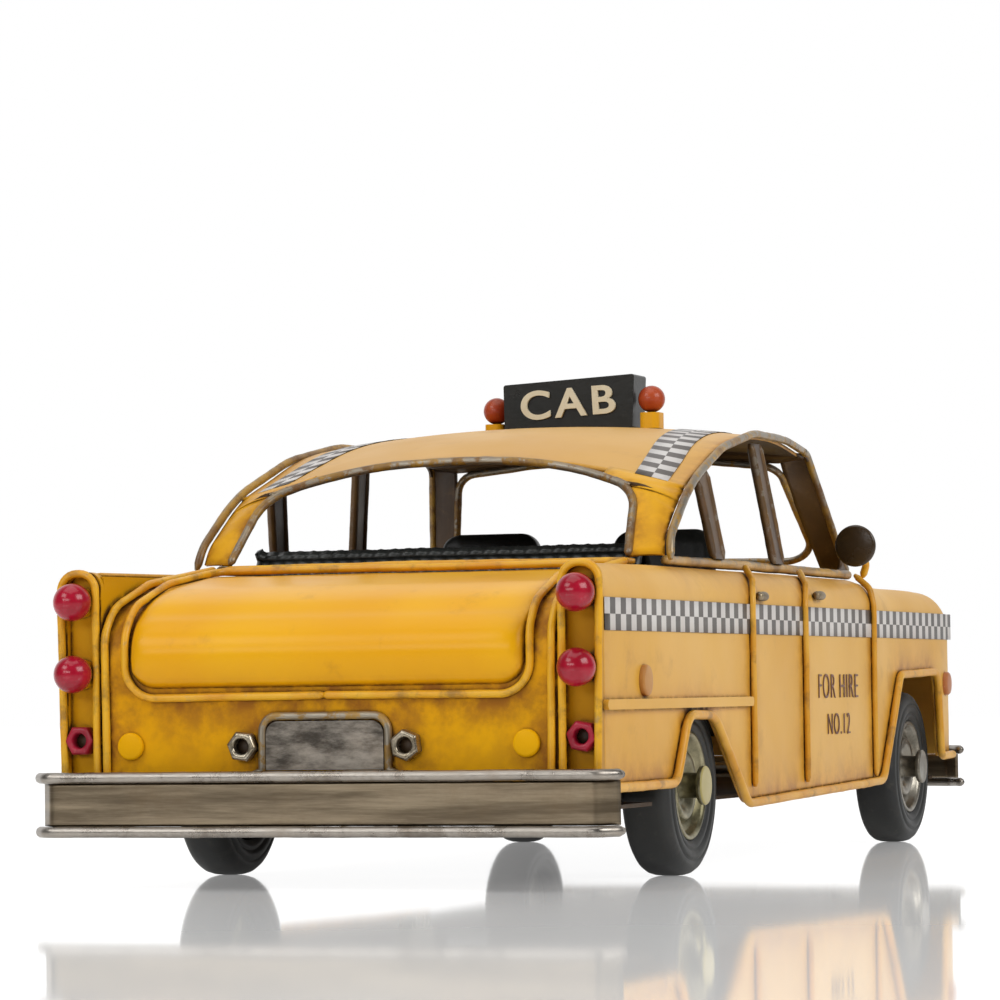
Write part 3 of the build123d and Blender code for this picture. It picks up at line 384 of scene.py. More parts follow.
def grid_faces(rows, columns, loop=False, flip=False):
    """Quads of a grid of points stored row by row; loop joins the last column to the first."""
    faces = []
    for r in range(rows - 1):
        for c in range(columns if loop else columns - 1):
            d = (c + 1) % columns
            quad = (r * columns + c, r * columns + d, (r + 1) * columns + d, (r + 1) * columns + c)
            faces.append(quad[::-1] if flip else quad)
    return faces


def thicken(obj, thickness=SHEET, offset=-1.0, bevel=0.0):
    """Give a sheet its thickness, into the body by default, and soften its edges when a bevel width is given."""
    solid = obj.modifiers.new("sheet", "SOLIDIFY")
    solid.thickness = thickness * MM
    solid.offset = offset
    if bevel:
        soften(obj, bevel)
    return obj


def soften(obj, width, segments=2, angle=40):
    bevel = obj.modifiers.new("soften", "BEVEL")
    bevel.width = width * MM
    bevel.segments = segments
    bevel.limit_method = "ANGLE"
    bevel.angle_limit = math.radians(angle)
    bevel.harden_normals = False
    return obj


def tube(path, diameter, out, seed, closed=False, sides=10, wobble=0.10, lumps=0.07):
    """Points, faces and ridge marks of a hand-bent wire; out is the side that wears bright."""
    count = len(path)
    radius = diameter / 2
    out = Vector(out).normalized()
    points, ridge = [], []
    frame_side = None
    for i, here in enumerate(path):
        ahead = path[(i + 1) % count] if closed or i < count - 1 else here
        behind = path[i - 1] if closed or i > 0 else here
        along = (ahead - behind).normalized()
        if frame_side is None:
            seed_axis = Vector((0, 0, 1)) if abs(along.z) < 0.9 else Vector((1, 0, 0))
            frame_side = along.cross(seed_axis).normalized()
        frame_side = (frame_side - along * frame_side.dot(along)).normalized()
        frame_up = along.cross(frame_side)
        shift = Vector((
            drift(*here, 0.07, seed), drift(*here, 0.07, seed + 9), drift(*here, 0.07, seed + 17)
        )) * wobble
        shift -= along * shift.dot(along)
        if not closed and i in (0, count - 1):
            rings = ((0.55, 0.0),)
        else:
            rings = ((1.0, 0.0),)
        swell = 1.0 + lumps * drift(*here, 0.45, seed + 31)
        for shrink, _ in rings:
            for k in range(sides):
                angle = 2 * math.pi * k / sides
                ray = frame_side * math.cos(angle) + frame_up * math.sin(angle)
                points.append(here + shift + ray * radius * swell * shrink)
                ridge.append(max(0.0, ray.dot(out)))
    if closed:
        rows = count + 1
        points += points[:sides]
        ridge += ridge[:sides]
    else:
        rows = count
    faces = grid_faces(rows, sides, loop=True, flip=True)
    if not closed:
        faces.append(tuple(range(sides)))
        faces.append(tuple(reversed(range((rows - 1) * sides, rows * sides))))
    return points, faces, ridge


def add_wires(name, paths, diameter, material, nodes=(), body=BODY, out=(-1, 0, 0), closed=False, **look):
    """One object for several wires; paths are lists of points in millimetres."""
    points, faces, ridge = [], [], []
    for number, path in enumerate(paths):
        facing = out(path) if callable(out) else out
        made = tube(path, diameter, facing, seed=len(name) + 3.7 * number, closed=closed, **look)
        start = len(points)
        points += made[0]
        faces += [tuple(start + v for v in face) for face in made[1]]
        ridge += made[2]
        wire_points.extend(path)
    obj = make_object(name, points, faces, material, body, marks={"ridge": ridge})
    if nodes:
        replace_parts(obj, *nodes)
    return obj


def mirrored(points, side):
    return [(p[0], side * p[1], p[2]) for p in points]


def outward(path):
    """Away from the car's middle plane."""
    return (0, math.copysign(1, path[len(path) // 2][1]), 0.35)


# ---------------------------------------------------------------- trim wires
SILL = (
    (-140.6, 19.5), (-95.6, 19.6), (-87.0, 33.4), (-68.6, 33.0), (-44.6, 14.0), (69.6, 16.2),
    (87.2, 41.2), (124.8, 42.0), (127.4, 20.8), (140.2, 21.2),
)
SILL_RADII = (5.0, 7.0, 12.0, 8.0, 6.0, 4.0, 4.0, 2.0)
SILL_Y = SIDE_Y + SILL_WIRE / 2 - 0.15
DOOR_Y = SIDE_Y + DOOR_WIRE / 2 - 0.12
DOOR_LINES = ((-38.5, -27.0), (3.5, 16.5), (63.5, 65.5))
RAIL_Y = SIDE_Y - SHOULDER
RAIL_Z = BELT_Z + EDGE / 2 + GAP
TRIM_X = REAR_FACE - LID_WIRE / 2 + 0.15
ROOF_STOPS = (
    (-64.0, 50.2, 80.9, 88.4), (-50.0, 49.8, 85.4, 92.2), (-36.0, 49.1, 90.1, 95.0),
    (-8.0, 48.1, 94.5, 97.9), (8.0, 47.8, 94.9, 98.2), (22.0, 47.1, 94.4, 97.6), (40.5, 45.7, 93.0, 95.6),
)
BOOT = (
    (-141.4, 19.6), (-141.4, 30.0), (-141.4, 40.0), (-141.35, 47.0), (-139.9, 51.6), (-136.6, 54.6),
    (-132.5, 56.8), (-127.4, 58.6), (-121.2, 59.9), (-104.0, 62.2), (-86.4, 63.6),
)


def sill_path(side):
    return rounded([(x, side * SILL_Y, z) for x, z in SILL], SILL_RADII, 1.0)


def door_path(side, foot_x, head_x):
    route = [
        (foot_x, DOOR_Y, 17.4), (foot_x, DOOR_Y, BELT_Z - SHOULDER + 0.6),
        ((2 * foot_x + head_x) / 3, DOOR_Y - 1.0, BELT_Z - 2.2),
        (head_x, SIDE_Y - SHOULDER + 2.4, BELT_Z + TRIM / 2 + 0.2),
    ]
    return rounded(mirrored(route, side), (3.0, 3.0), 1.0)


def build_side_wires():
    add_wires("sill_wires_worn", [sill_path(s) for s in SIDES], SILL_WIRE, WIRE_SIDE, ("sill_wires",),
              out=outward, sides=12)
    doors = [door_path(s, *line) for s in SIDES for line in DOOR_LINES]
    add_wires("door_wires_painted", doors, DOOR_WIRE, WIRE_SIDE, ("door_wires",), out=outward)
    rails = [
        rounded([(-78.0, s * RAIL_Y, RAIL_Z), (-20, s * RAIL_Y, RAIL_Z + 0.2), (69.5, s * RAIL_Y, RAIL_Z)],
                (200,), 1.5)
        for s in SIDES
    ]
    add_wires("belt_rails_worn", rails, EDGE, WIRE_BELT, ("belt_rails",), out=(0, 0, 1))


def over_boot(foot_half, face_half, rolled_half):
    """Corner points of a wire from the rear face over the roll, on the left side."""
    return [(TRIM_X, foot_half, 50.6), (-137.9, face_half, 56.2), (-121.9, rolled_half, 61.3)]


def build_rear_wires():
    run = [(TRIM_X, 42.8, 38.0), *over_boot(42.8, 42.7, 42.0), (-97.4, 41.4, 64.3)]
    lid = [(TRIM_X, 0, 38.3), *run, *mirrored(reversed(run), -1), (TRIM_X, 0.3, 38.3)]
    radii = (6.4, 7.0, 11.0, 20.0, 4.0, 4.0, 20.0, 11.0, 7.0, 6.4)
    add_wires("trunk_lid_wire_bent", [rounded(lid, radii, 0.9)], LID_WIRE, WIRE_REAR, ("trunk_lid_wire",),
              sides=12)
    border = [(TRIM_X, 46.9, 20.8), *over_boot(47.2, 47.0, 46.4), (-90.0, 45.6, 64.9)]
    edges = [rounded(mirrored(border, s), (7, 11, 20), 0.9) for s in SIDES]
    add_wires("trunk_border_wire_bent", edges, LID_WIRE, WIRE_REAR, ("trunk_border_wire",))
    frame_x = REAR_FACE + 2.8 - 2.3 - TRIM / 2
    lamps = [
        rounded(mirrored([(frame_x, 49.1, 20.4), (frame_x, 49.3, 63.2), (frame_x, 57.0, 63.2),
                          (frame_x, 56.2, 20.4)], s), (3.5, 3.5), 0.8)
        for s in SIDES
    ]
    add_wires("lamp_frame_wires_bent", lamps, LID_WIRE, WIRE_REAR, ("lamp_frame_wires",))
    plate = [
        (TRIM_X, 15.8, 22.4), (TRIM_X, 13.3, 23.4), (TRIM_X, 13.3, 34.2), (TRIM_X, -13.3, 34.2),
        (TRIM_X, -13.3, 23.4), (TRIM_X, -15.8, 22.4),
    ]
    add_wires("plate_frame_bent", [rounded(plate, (0.9, 3.0, 3.0, 0.9), 0.6)], 1.6, WIRE_PLATE,
              ("plate_frame",))


WINDOW_X = -65.3
RAIL = (
    (-82.6, 53.0, 65.2), (-80.6, 52.4, 70.0), (-64.0, 51.6, 81.4), (-36.0, 50.5, 90.6),
    (-8.0, 49.5, 95.0), (22.0, 48.5, 94.9), (40.5, 47.1, 93.5),
)
SCREEN_EDGES = (
    ((44.8, 40.4, 91.4), (45.4, 40.6, 86.0), (48.6, 42.8, 66.6)),
    ((44.6, -40.4, 91.4), (48.6, -40.6, 86.8), (70.4, -42.8, 66.6)),
)


def rail_end(side):
    """Front end of a roof rail."""
    return (RAIL[-1][0], side * RAIL[-1][1], RAIL[-1][2])



def rail_path(side):
    return rounded(mirrored(RAIL, side), (8, 60, 60, 60, 60), 1.2)


def window_path():
    upper = [(-84.6, 44.4, 66.2), (-71.6, 42.0, 80.2), (WINDOW_X, 27.3, 86.5)]
    return rounded([*upper, (WINDOW_X, 0, 88.0), *mirrored(reversed(upper), -1)], (12, 60, 200, 60, 12), 0.9)


def build_cabin_wires():
    add_wires("roof_rails_worn", [rail_path(s) for s in SIDES], RAIL_WIRE, WIRE_WORN, ("roof_rails",), out=outward)
    foot = [(-85.0, 46.0, 64.9), (-85.0, 0, 65.2), (-85.0, -46.0, 64.9)]
    add_wires("rear_window_frame_worn", [window_path()], RAIL_WIRE, WIRE_WORN, ("rear_window_frame",), sides=12)
    add_wires("rear_window_foot", [rounded(foot, (400,), 2.0)], TRIM, WIRE_REAR)
    shield = [
        (59.0, 0, 68.8), (70.2, -42.2, 68.6), (44.6, -39.8, 90.2), (43.0, -20.0, 92.2), (42.8, 0, 92.9),
        (43.0, 20.0, 92.2), (44.8, 39.8, 90.2), (48.6, 42.2, 68.6), (58.8, 0.8, 68.8),
    ]
    add_wires("windshield_frame_worn", [rounded(shield, (6, 5, 40, 40, 40, 5, 6), 1.2)], TRIM, WIRE_WORN,
              ("windshield_frame",), out=(-1, 0, 0.3))


def spread(path, count):
    """The path resampled to count points, evenly by index."""
    out = []
    for i in range(count):
        along = i * (len(path) - 1) / (count - 1)
        k = min(int(along), len(path) - 2)
        out.append(path[k].lerp(path[k + 1], along - k))
    return out


def gusset(corner, first, last, count=12, columns=6):
    """Small sheet that rounds off the corner between two points of a window opening."""
    corner, first, last = Vector(corner), Vector(first), Vector(last)
    middle = corner.lerp((first + last) / 2, 0.12)
    points = []
    for i in range(count):
        t = i / (count - 1)
        edge = first * (1 - t) ** 2 + middle * 2 * t * (1 - t) + last * t * t
        points += [edge.lerp(corner, c / (columns - 1)) for c in range(columns)]
    return points, grid_faces(count, columns)


def build_screen_posts():
    """Sheet between the windscreen frame and a wire that runs on from the roof rail down to the belt."""
    edges = []
    for side, (head_x, foot_x), inner in zip(SIDES, ((44.8, 51.0), (45.8, 72.0)), SCREEN_EDGES):
        head, foot = Vector((head_x, side * 46.6, 92.9)), Vector((foot_x, side * 48.8, 65.8))
        outer = rounded([rail_end(side), head, foot], (3.4,), 1.0)
        edges.append(outer)
        rows, columns = 30, 8
        inner_path = spread([Vector(p) for p in inner], rows)
        outer_path = spread([p for p in outer if p.z < 92.6], rows)
        points = []
        for r in range(rows):
            for c in range(columns):
                share = c / (columns - 1)
                bow = 0.5 * math.sin(math.pi * share)
                points.append(outer_path[r].lerp(inner_path[r], share) + Vector((bow, 0, 0)))
        faces = grid_faces(rows, columns)
        down = (foot - head).normalized()
        rear = Vector((-1, 0, 0))
        for corner, first, last in ((foot, foot - down * 11.0, foot + rear * 12.0),
                                    (head, head + rear * 6.0, head + down * 6.0)):
            made, quads = gusset(corner, first, last)
            faces += [tuple(len(points) + v for v in quad) for quad in quads]
            points += made
        name = "left" if side > 0 else "right"
        obj = make_object(f"screen_post_{name}", points, faces, FRAME_BROWN)
        thicken(obj, 0.7, 0.0)
        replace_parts(obj, "a_pillars")
    across = np.linspace(-46.4, 46.4, 60)
    points = []
    for y in across:
        under = Vector((40.4, y, 93.0 + 2.5 * (1 - (y / 46.6) ** 2) - 0.3))
        lower = Vector((float(np.interp(abs(y), (0, 20, 40, 46.6), (42.8, 43.0, 44.6, 45.2))), y,
                        float(np.interp(abs(y), (0, 20, 40, 46.6), (92.9, 92.2, 91.2, 92.2)))))
        points += [under, under.lerp(lower, 0.5), lower]
    obj = make_object("screen_header", points, grid_faces(len(across), 3), FRAME_BROWN)
    thicken(obj, 0.6, 0.0)
    add_wires("screen_post_wires", edges, RAIL_WIRE, WIRE_WORN, out=outward)


PILLARS = (
    (-41.6, 50.8, 48.9, (-50.6, 82.8), (-44.4, 85.0)),
    (4.8, 50.8, 47.2, (-3.4, 93.0), (2.8, 93.2)),
)


def build_pillars():
    """Door posts: a flat strip in the side of the cab with a wire along each edge."""
    wires, points, faces = [], [], []
    for side in SIDES:
        for foot_x, foot_y, head_y, rear_head, front_head in PILLARS:
            lean = (head_y - foot_y) / (front_head[1] - 66.2)
            edges = []
            for x, head in ((foot_x - 3.1, rear_head), (foot_x + 3.1, front_head)):
                top = (head[0], side * (foot_y + lean * (head[1] - 66.2)), head[1])
                edges.append(rounded([(x, side * foot_y, 66.2), top], (), 1.5))
            wires += edges
            rows = min(len(e) for e in edges)
            for thick in (-0.5, 0.5):
                start = len(points)
                for r in range(rows):
                    a = edges[0][r * (len(edges[0]) - 1) // (rows - 1)]
                    b = edges[1][r * (len(edges[1]) - 1) // (rows - 1)]
                    for share in (0.0, 0.5, 1.0):
                        point = a.lerp(b, share)
                        points.append(point + Vector((0, thick, 0)))
                quads = grid_faces(rows, 3, flip=thick > 0)
                faces += [tuple(start + v for v in face) for face in quads]
    obj = make_object("door_pillar_strips", points, faces, FRAME_BROWN, flat=True)
    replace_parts(obj, "door_pillars")
    add_wires("door_pillar_wires", wires, 2.0, WIRE_DARK, out=outward)


build_side_wires()
build_rear_wires()
build_cabin_wires()
build_screen_posts()
build_pillars()


# ---------------------------------------------------------------- painted panels
def stain(obj, reach=3.2):
    """Mark how near each point of a panel lies to a trim wire."""
    tree = KDTree(len(wire_points))
    for i, point in enumerate(wire_points):
        tree.insert(point, i)
    tree.balance()
    values = []
    for vertex in obj.data.vertices:
        distance = tree.find(vertex.co / MM)[2]
        values.append(math.exp(-max(0.0, distance - 1.0) / reach))
    obj.data.attributes.new("grime", "FLOAT", "POINT").data.foreach_set("value", values)


side_reach = curve((-138.4, 56.4), (-118, 56.7), (-84, SIDE_Y), (0, SIDE_Y), (112, SIDE_Y), (126, 56.7),
                   (136, 56.6), (141.5, 56.2))
side_top = curve((-138.4, 63.4), (-118, 63.6), (-84, BELT_Z), (0, BELT_Z), (60, BELT_Z), (74, 62.8), (86, 62.4),
                 (112, 62.3), (126, 62.1), (136, 61.5), (141.5, 60.0))


def build_side_panel(side):
    """Side sheet from the sill, round the arches, over the shoulder to the belt."""
    sill = sill_path(side)
    sill_x = [p.x for p in sill]
    sill_z = [p.z for p in sill]
    xs = np.arange(-138.4, 141.6, 1.18)
    flat_rows, bend_rows = 30, 9
    points = []
    for x in xs:
        outer, top = side_reach(x), side_top(x)
        foot = float(np.interp(x, sill_x, sill_z))
        knee = top - SHOULDER
        for r in range(flat_rows):
            z = foot + (knee - foot) * r / (flat_rows - 1)
            dent = 0.10 * drift(x, side * 7, z, 0.035, 3) + 0.05 * drift(x, side * 7, z, 0.12, 8)
            points.append((x, side * (outer - 0.05 + dent), z))
        for r in range(1, bend_rows + 1):
            angle = math.pi / 2 * r / bend_rows
            y = outer - SHOULDER + SHOULDER * math.cos(angle)
            points.append((x, side * y, knee + SHOULDER * math.sin(angle)))
    rows, columns = len(xs), flat_rows + bend_rows
    name = "left" if side > 0 else "right"
    obj = make_object(f"side_skin_{name}", points, grid_faces(rows, columns, flip=side < 0), PAINT_SIDE_SHEEN)
    stain(obj)
    thicken(obj)
    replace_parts(obj, f"side_panel_{name}")
    return obj


BOOT_HALF = 48.2


def boot_run(first, last, step=1.1):
    """Points of the boot's outer face from one stop of its side profile to another."""
    stops = [Vector((x, 0, z)) for x, z in BOOT]
    out = []
    for i in range(first, last):
        p0, p1 = stops[max(i - 1, 0)], stops[i]
        p2, p3 = stops[i + 1], stops[min(i + 2, len(stops) - 1)]
        pieces = max(2, int((p2 - p1).length / step))
        for k in range(pieces):
            t = k / pieces
            out.append(0.5 * (2 * p1 + (p2 - p0) * t + (2 * p0 - 5 * p1 + 4 * p2 - p3) * t**2
                              + (3 * p1 - p0 - 3 * p2 + p3) * t**3))
    out.append(stops[last])
    return out


def facing(run, i):
    """Outward direction of the boot profile at point i."""
    along = run[min(i + 1, len(run) - 1)] - run[max(i - 1, 0)]
    return Vector((-along.z, 0, along.x)).normalized()


def build_boot():
    """Upright rear sheet and the deck that rolls forward from it."""
    ys = np.linspace(-BOOT_HALF, BOOT_HALF, 81)
    run = boot_run(0, len(BOOT) - 1)
    points = []
    for y in ys:
        for i, p in enumerate(run):
            dent = 0.10 * drift(p.x, y, p.z, 0.05, 5) - 0.05
            points.append(p + facing(run, i) * dent + Vector((0, y, 0)))
    obj = make_object("boot_skin", points, grid_faces(len(ys), len(run)), PAINT_REAR)
    stain(obj, 8.0)
    thicken(obj, 0.7)
    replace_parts(obj, "rear_panel", "trunk_deck")


LID_HALF = 41.9
LID_FOOT = 39.0


def build_trunk_lid():
    """Lid skin: it bulges over its foot and follows the roll of the boot."""
    run = [p for p in boot_run(2, 9, 0.9) if p.z > LID_FOOT and p.x < -98.5]
    ys = np.linspace(-LID_HALF, LID_HALF, 85)
    corner = 5.4
    lengths = [0.0]
    for a, b in zip(run, run[1:]):
        lengths.append(lengths[-1] + (b - a).length)
    points = []
    for y in ys:
        inset = max(0.0, abs(y) - (LID_HALF - corner))
        rise = corner - math.sqrt(max(0.0, corner**2 - inset**2))
        for i, p in enumerate(run):
            along = rise + (lengths[-1] - rise) * lengths[i] / lengths[-1]
            k = min(int(np.searchsorted(lengths, along, side="right")), len(run) - 1)
            span = lengths[k] - lengths[k - 1]
            base = run[k - 1].lerp(run[k], (along - lengths[k - 1]) / span)
            edge = min(LID_HALF - abs(y), along - rise, lengths[-1] - along)
            swell = 1 - math.exp(-max(0.0, edge) / 1.1)
            belly = 1.7 * math.exp(-(((along - 7.0) / 5.6) ** 2))
            crease = 0.5 * math.exp(-(((along - 15.5) / 2.6) ** 2))
            height = 0.15 + swell * (0.75 + belly - crease) + 0.05 * drift(0, y, base.z, 0.06, 12)
            points.append(base + facing(run, i) * height + Vector((0, y, 0)))
    obj = make_object("trunk_lid_skin", points, grid_faces(len(ys), len(run)), PAINT_LID)
    stain(obj, 1.3)
    thicken(obj, 0.6)
    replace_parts(obj, "trunk_lid")


roof_half = curve(*[(s[0], s[1]) for s in ROOF_STOPS])
roof_side = curve(*[(s[0], s[2]) for s in ROOF_STOPS])
roof_ridge = curve(*[(s[0], s[3]) for s in ROOF_STOPS])


def roof_point(x, share, lift=0.0):
    """Point of the roof skin; share runs from -1 at the right edge to 1 at the left."""
    half, low, high = roof_half(x), roof_side(x), roof_ridge(x)
    z = low + (high - low) * (1 - share * share)
    return (x, share * half, z + lift)


def build_roof():
    xs = np.linspace(-64.0, 40.5, 84)
    shares = np.linspace(-1, 1, 71)
    points = [roof_point(x, s) for x in xs for s in shares]
    obj = make_object("roof_skin", points, grid_faces(len(xs), len(shares), flip=True), [PAINT_ROOF_SHEEN, INNER_TIN])
    stain(obj, 2.2)
    thicken(obj)
    obj.modifiers["sheet"].material_offset = 1
    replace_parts(obj, "roof_panel")


def build_c_pillars():
    """Sheet between the rear window and each roof rail, running up into the roof."""
    window = window_path()
    half = [p for p in window if p.y > 0]
    for side in SIDES:
        name = "left" if side > 0 else "right"
        inner = [p for p in half if p.y > 33.0]
        outer = [p for p in rail_path(1) if -82.5 < p.x < -63.9]
        rows, columns = 26, 9
        points = []
        for r in range(rows):
            t = r / (rows - 1)
            a = inner[round(t * (len(inner) - 1))]
            b = outer[round(t * (len(outer) - 1))] + Vector((0.2, -1.3, -0.2))
            for c in range(columns):
                share = c / (columns - 1)
                point = a.lerp(b, share)
                lift = 0.7 * math.sin(math.pi * share) * (0.4 + t)
                points.append((point.x - 0.45 * lift, side * (point.y + 0.2 * lift), point.z + 0.75 * lift))
        for x in (-64.0, -62.2):
            points += [(px, side * py, pz) for px, py, pz in roof_span(x, inner[-1].y, columns)]
        obj = make_object(f"c_pillar_{name}", points, grid_faces(rows + 2, columns, flip=side > 0),
                          [PAINT_PILLAR, INNER_TIN])
        stain(obj, 2.2)
        thicken(obj)
        obj.modifiers["sheet"].material_offset = 1
        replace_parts(obj, "c_pillars")


def roof_span(x, inner_y, columns):
    """Points across the rear edge of the roof from the window's corner to its side."""
    edge = roof_half(x)
    return [roof_point(x, (inner_y + (edge - inner_y) * c / (columns - 1)) / edge, 0.12) for c in range(columns)]


for panel_side in SIDES:
    build_side_panel(panel_side)
build_boot()
build_trunk_lid()
build_roof()
build_c_pillars()


# ---------------------------------------------------------------- checker stripes
CHECK = 3.2


def build_side_checks():
    """Two rows of squares along each side, laid on the skin."""
    low_z = 50.1
    for side in SIDES:
        points, faces, pick = [], [], []
        count = 88
        for i in range(count + 1):
            x = -137.4 + i * CHECK
            reach = side_reach(x)
            for r in range(3):
                points.append((x, side * (reach + 0.13), low_z + r * CHECK))
        for i in range(count):
            for r in range(2):
                a = i * 3 + r
                quad = (a, a + 3, a + 4, a + 1)
                faces.append(quad if side < 0 else quad[::-1])
                middle = -137.4 + (i + 0.5) * CHECK
                near = any(abs(middle - (0.15 * head + 0.85 * foot)) < 2.6 for foot, head in DOOR_LINES)
                pick.append((2 if r else 0) if near else (i + r + 1) % 2)
        name = "left" if side > 0 else "right"
        shades = [CHECK_WHITE, CHECK_DARK, CHECK_BLACK]
        obj = make_object(f"side_checks_{name}", points, faces, shades, pick=pick)
        thicken(obj, 0.06, 1.0)


def build_roof_checks():
    """Two columns of squares along each roof edge."""
    for side in SIDES:
        points, faces, pick = [], [], []
        count = 22
        for i in range(count + 1):
            x = -63.6 + i * CHECK
            for r in range(3):
                share = side * (0.93 - (0.072 + 0.0012 * i) * r - 0.0042 * i)
                points.append(roof_point(x, share, 0.16))
        for i in range(count):
            for r in range(2):
                a = i * 3 + r
                quad = (a, a + 3, a + 4, a + 1)
                faces.append(quad if side < 0 else quad[::-1])
                pick.append((i + r) % 2)
        name = "left" if side > 0 else "right"
        obj = make_object(f"roof_checks_{name}", points, faces, [CHECK_WHITE, CHECK_DARK], pick=pick)
        thicken(obj, 0.06, 1.0)


build_side_checks()
build_roof_checks()


# ---------------------------------------------------------------- turned pieces
def lathe(name, profiles, material, nodes, body, segments=64, flat=False):
    """Turned pieces; each profile is (centre, axis, [(along, radius), ...])."""
    points, faces = [], []
    for centre, axis, outline in profiles:
        centre, axis = Vector(centre), Vector(axis).normalized()
        across = axis.orthogonal().normalized()
        third = axis.cross(across)
        start = len(points)
        for along, radius in outline:
            for k in range(segments):
                angle = 2 * math.pi * k / segments
                ray = across * math.cos(angle) + third * math.sin(angle)
                points.append(centre + axis * along + ray * max(radius, 0.001))
        made = grid_faces(len(outline), segments, loop=True)
        faces += [tuple(start + v for v in face) for face in made]
    obj = make_object(name, points, faces, material, body, flat=flat)
    if nodes:
        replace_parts(obj, *nodes)
    return obj


def arc_outline(radius, start, end, steps, centre=(0.0, 0.0)):
    """Outline points on an arc, angles in degrees from the axis."""
    out = []
    for i in range(steps + 1):
        angle = math.radians(start + (end - start) * i / steps)
        out.append((centre[0] + radius * math.cos(angle), centre[1] + radius * math.sin(angle)))
    return out


HALF_TRACK = {"rear": 49.4, "front": 48.4}
TYRE_OUTLINE = (
    (-4.1, 11.2), (-4.6, 11.6), (-5.0, 12.2), (-5.15, 12.9), (-4.95, 13.15), (-4.95, 13.4), (-5.3, 13.7),
    (-5.45, 14.5), (-5.3, 15.2), (-5.05, 15.4), (-5.05, 15.65), (-5.25, 15.9), (-5.0, 16.8), (-4.5, 17.6),
    (-3.7, 18.2), (-2.6, 18.5), (-1.2, 18.6), (0.0, 18.6),
)
RIM_OUTLINE = (
    (-4.0, 1.5), (-4.0, 3.4), (-1.8, 3.6), (-1.6, 9.0), (-1.4, 11.3), (4.3, 11.35), (4.65, 11.1), (4.65, 10.5),
    (3.9, 10.1), (2.9, 9.7), (2.5, 9.3), (2.3, 8.4), (2.4, 7.6), (2.9, 7.3), (3.5, 7.1), (3.8, 6.7), (3.6, 5.6),
    (3.0, 4.6), (2.4, 4.0), (2.2, 3.2), (2.6, 2.7), (6.5, 2.6), (6.7, 3.7), (6.9, 4.0), (7.75, 4.05),
    (7.95, 3.85), (8.0, 2.0), (8.0, 0.0),
)


def build_wheels():
    for end, axle_x, rim_paint in (("rear", REAR_AXLE, RIM_REAR), ("front", FRONT_AXLE, RIM_FRONT)):
        body = f"{end}_axle_set"
        centres = [((axle_x, s * HALF_TRACK[end], TYRE_RADIUS), (0, s, 0)) for s in SIDES]
        half = list(TYRE_OUTLINE)
        outline = half + [(-along, radius) for along, radius in reversed(half[:-1])]
        lathe(f"{end}_tyres_moulded", [(c, a, outline) for c, a in centres], TYRE_RUBBER,
              (f"{end}_tyres",), body, 96)
        lathe(f"{end}_rims_dished", [(c, a, RIM_OUTLINE) for c, a in centres], rim_paint,
              (f"{end}_rims",), body, 72)
        caps = [(7.8, 4.05), (8.0, 3.9), (8.02, 3.4), (8.02, 0.0)]
        paint_cap = CAP_REAR if end == "rear" else RIM_FRONT
        lathe(f"{end}_hub_caps", [(c, a, caps) for c, a in centres], paint_cap, (), body, 48)


def build_beads():
    channel = REAR_FACE + 2.0
    bead_x = REAR_FACE - 0.55 - 2.7
    beads, cups = [], []
    for side in SIDES:
        for z in (57.4, 43.0):
            centre = (bead_x, side * 53.1, z)
            beads.append((centre, (-1, 0, 0), arc_outline(3.8, 0, 150, 26)))
            cups.append(((channel, side * 53.1, z), (-1, 0, 0),
                         [(0, 3.0), (1.8, 3.0), (2.6, 3.15), (3.2, 3.25), (3.2, 2.8), (0, 2.6)]))
    lathe("tail_lamp_beads", beads, RED_BEAD, ("tail_lamps",), BODY, 48)
    lathe("tail_lamp_cups", cups, PAINT_REAR, (), BODY, 40)


def hexagon_nut(centre, turn, height):
    """Six-sided nut with chamfered corners and a round bore."""
    outline = []
    for along, reach, corner in ((0.0, 2.75, 1.0), (height - 0.5, 2.75, 1.0), (height, 2.45, 0.92),
                                 (height, 1.75, 0.0), (height - 0.4, 1.5, 0.0), (0.2, 1.5, 0.0)):
        ring = []
        for k in range(48):
            angle = math.radians(k * 7.5)
            wedge = (math.degrees(angle) % 60) - 30
            hexa = reach / math.cos(math.radians(wedge))
            radius = reach + (hexa - reach) * corner
            ring.append((centre[0] - along, centre[1] + radius * math.cos(angle + math.radians(turn)),
                         centre[2] + radius * math.sin(angle + math.radians(turn))))
        outline.append(ring)
    points = [p for ring in outline for p in ring]
    return points, grid_faces(len(outline), 48, loop=True)


def build_nuts():
    made = []
    for name, material, places in (
        ("red_nuts", RED_NUT, ((REAR_FACE + 1.9, 53.0, 29.7, 0), (REAR_FACE + 1.9, -53.0, 29.7, 10))),
        ("plate_nuts", CHROME, ((REAR_FACE - 0.1, 17.2, 28.3, 8), (REAR_FACE - 0.1, -17.2, 28.3, 22))),
    ):
        points, faces = [], []
        for x, y, z, turn in places:
            nut_points, nut_faces = hexagon_nut((x, y, z), turn, 2.9 if name == "red_nuts" else 2.4)
            start = len(points)
            points += nut_points
            faces += [tuple(start + v for v in face) for face in nut_faces]
        obj = make_object(name, points, faces, material)
        soften(obj, 0.12, 1, 50)
        made.append(obj)
    bores = [((REAR_FACE + 1.85, s * 53.0, 29.7), (-1, 0, 0), [(0, 1.6), (0.3, 1.6), (0.3, 0)]) for s in SIDES]
    bores += [((REAR_FACE - 0.05, s * 17.2, 28.3), (-1, 0, 0), [(0, 1.6), (0.3, 1.6), (0.3, 0)]) for s in SIDES]
    lathe("nut_bores", bores, INNER_TIN, (), BODY, 24)
    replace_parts(made[0], "hex_nuts")


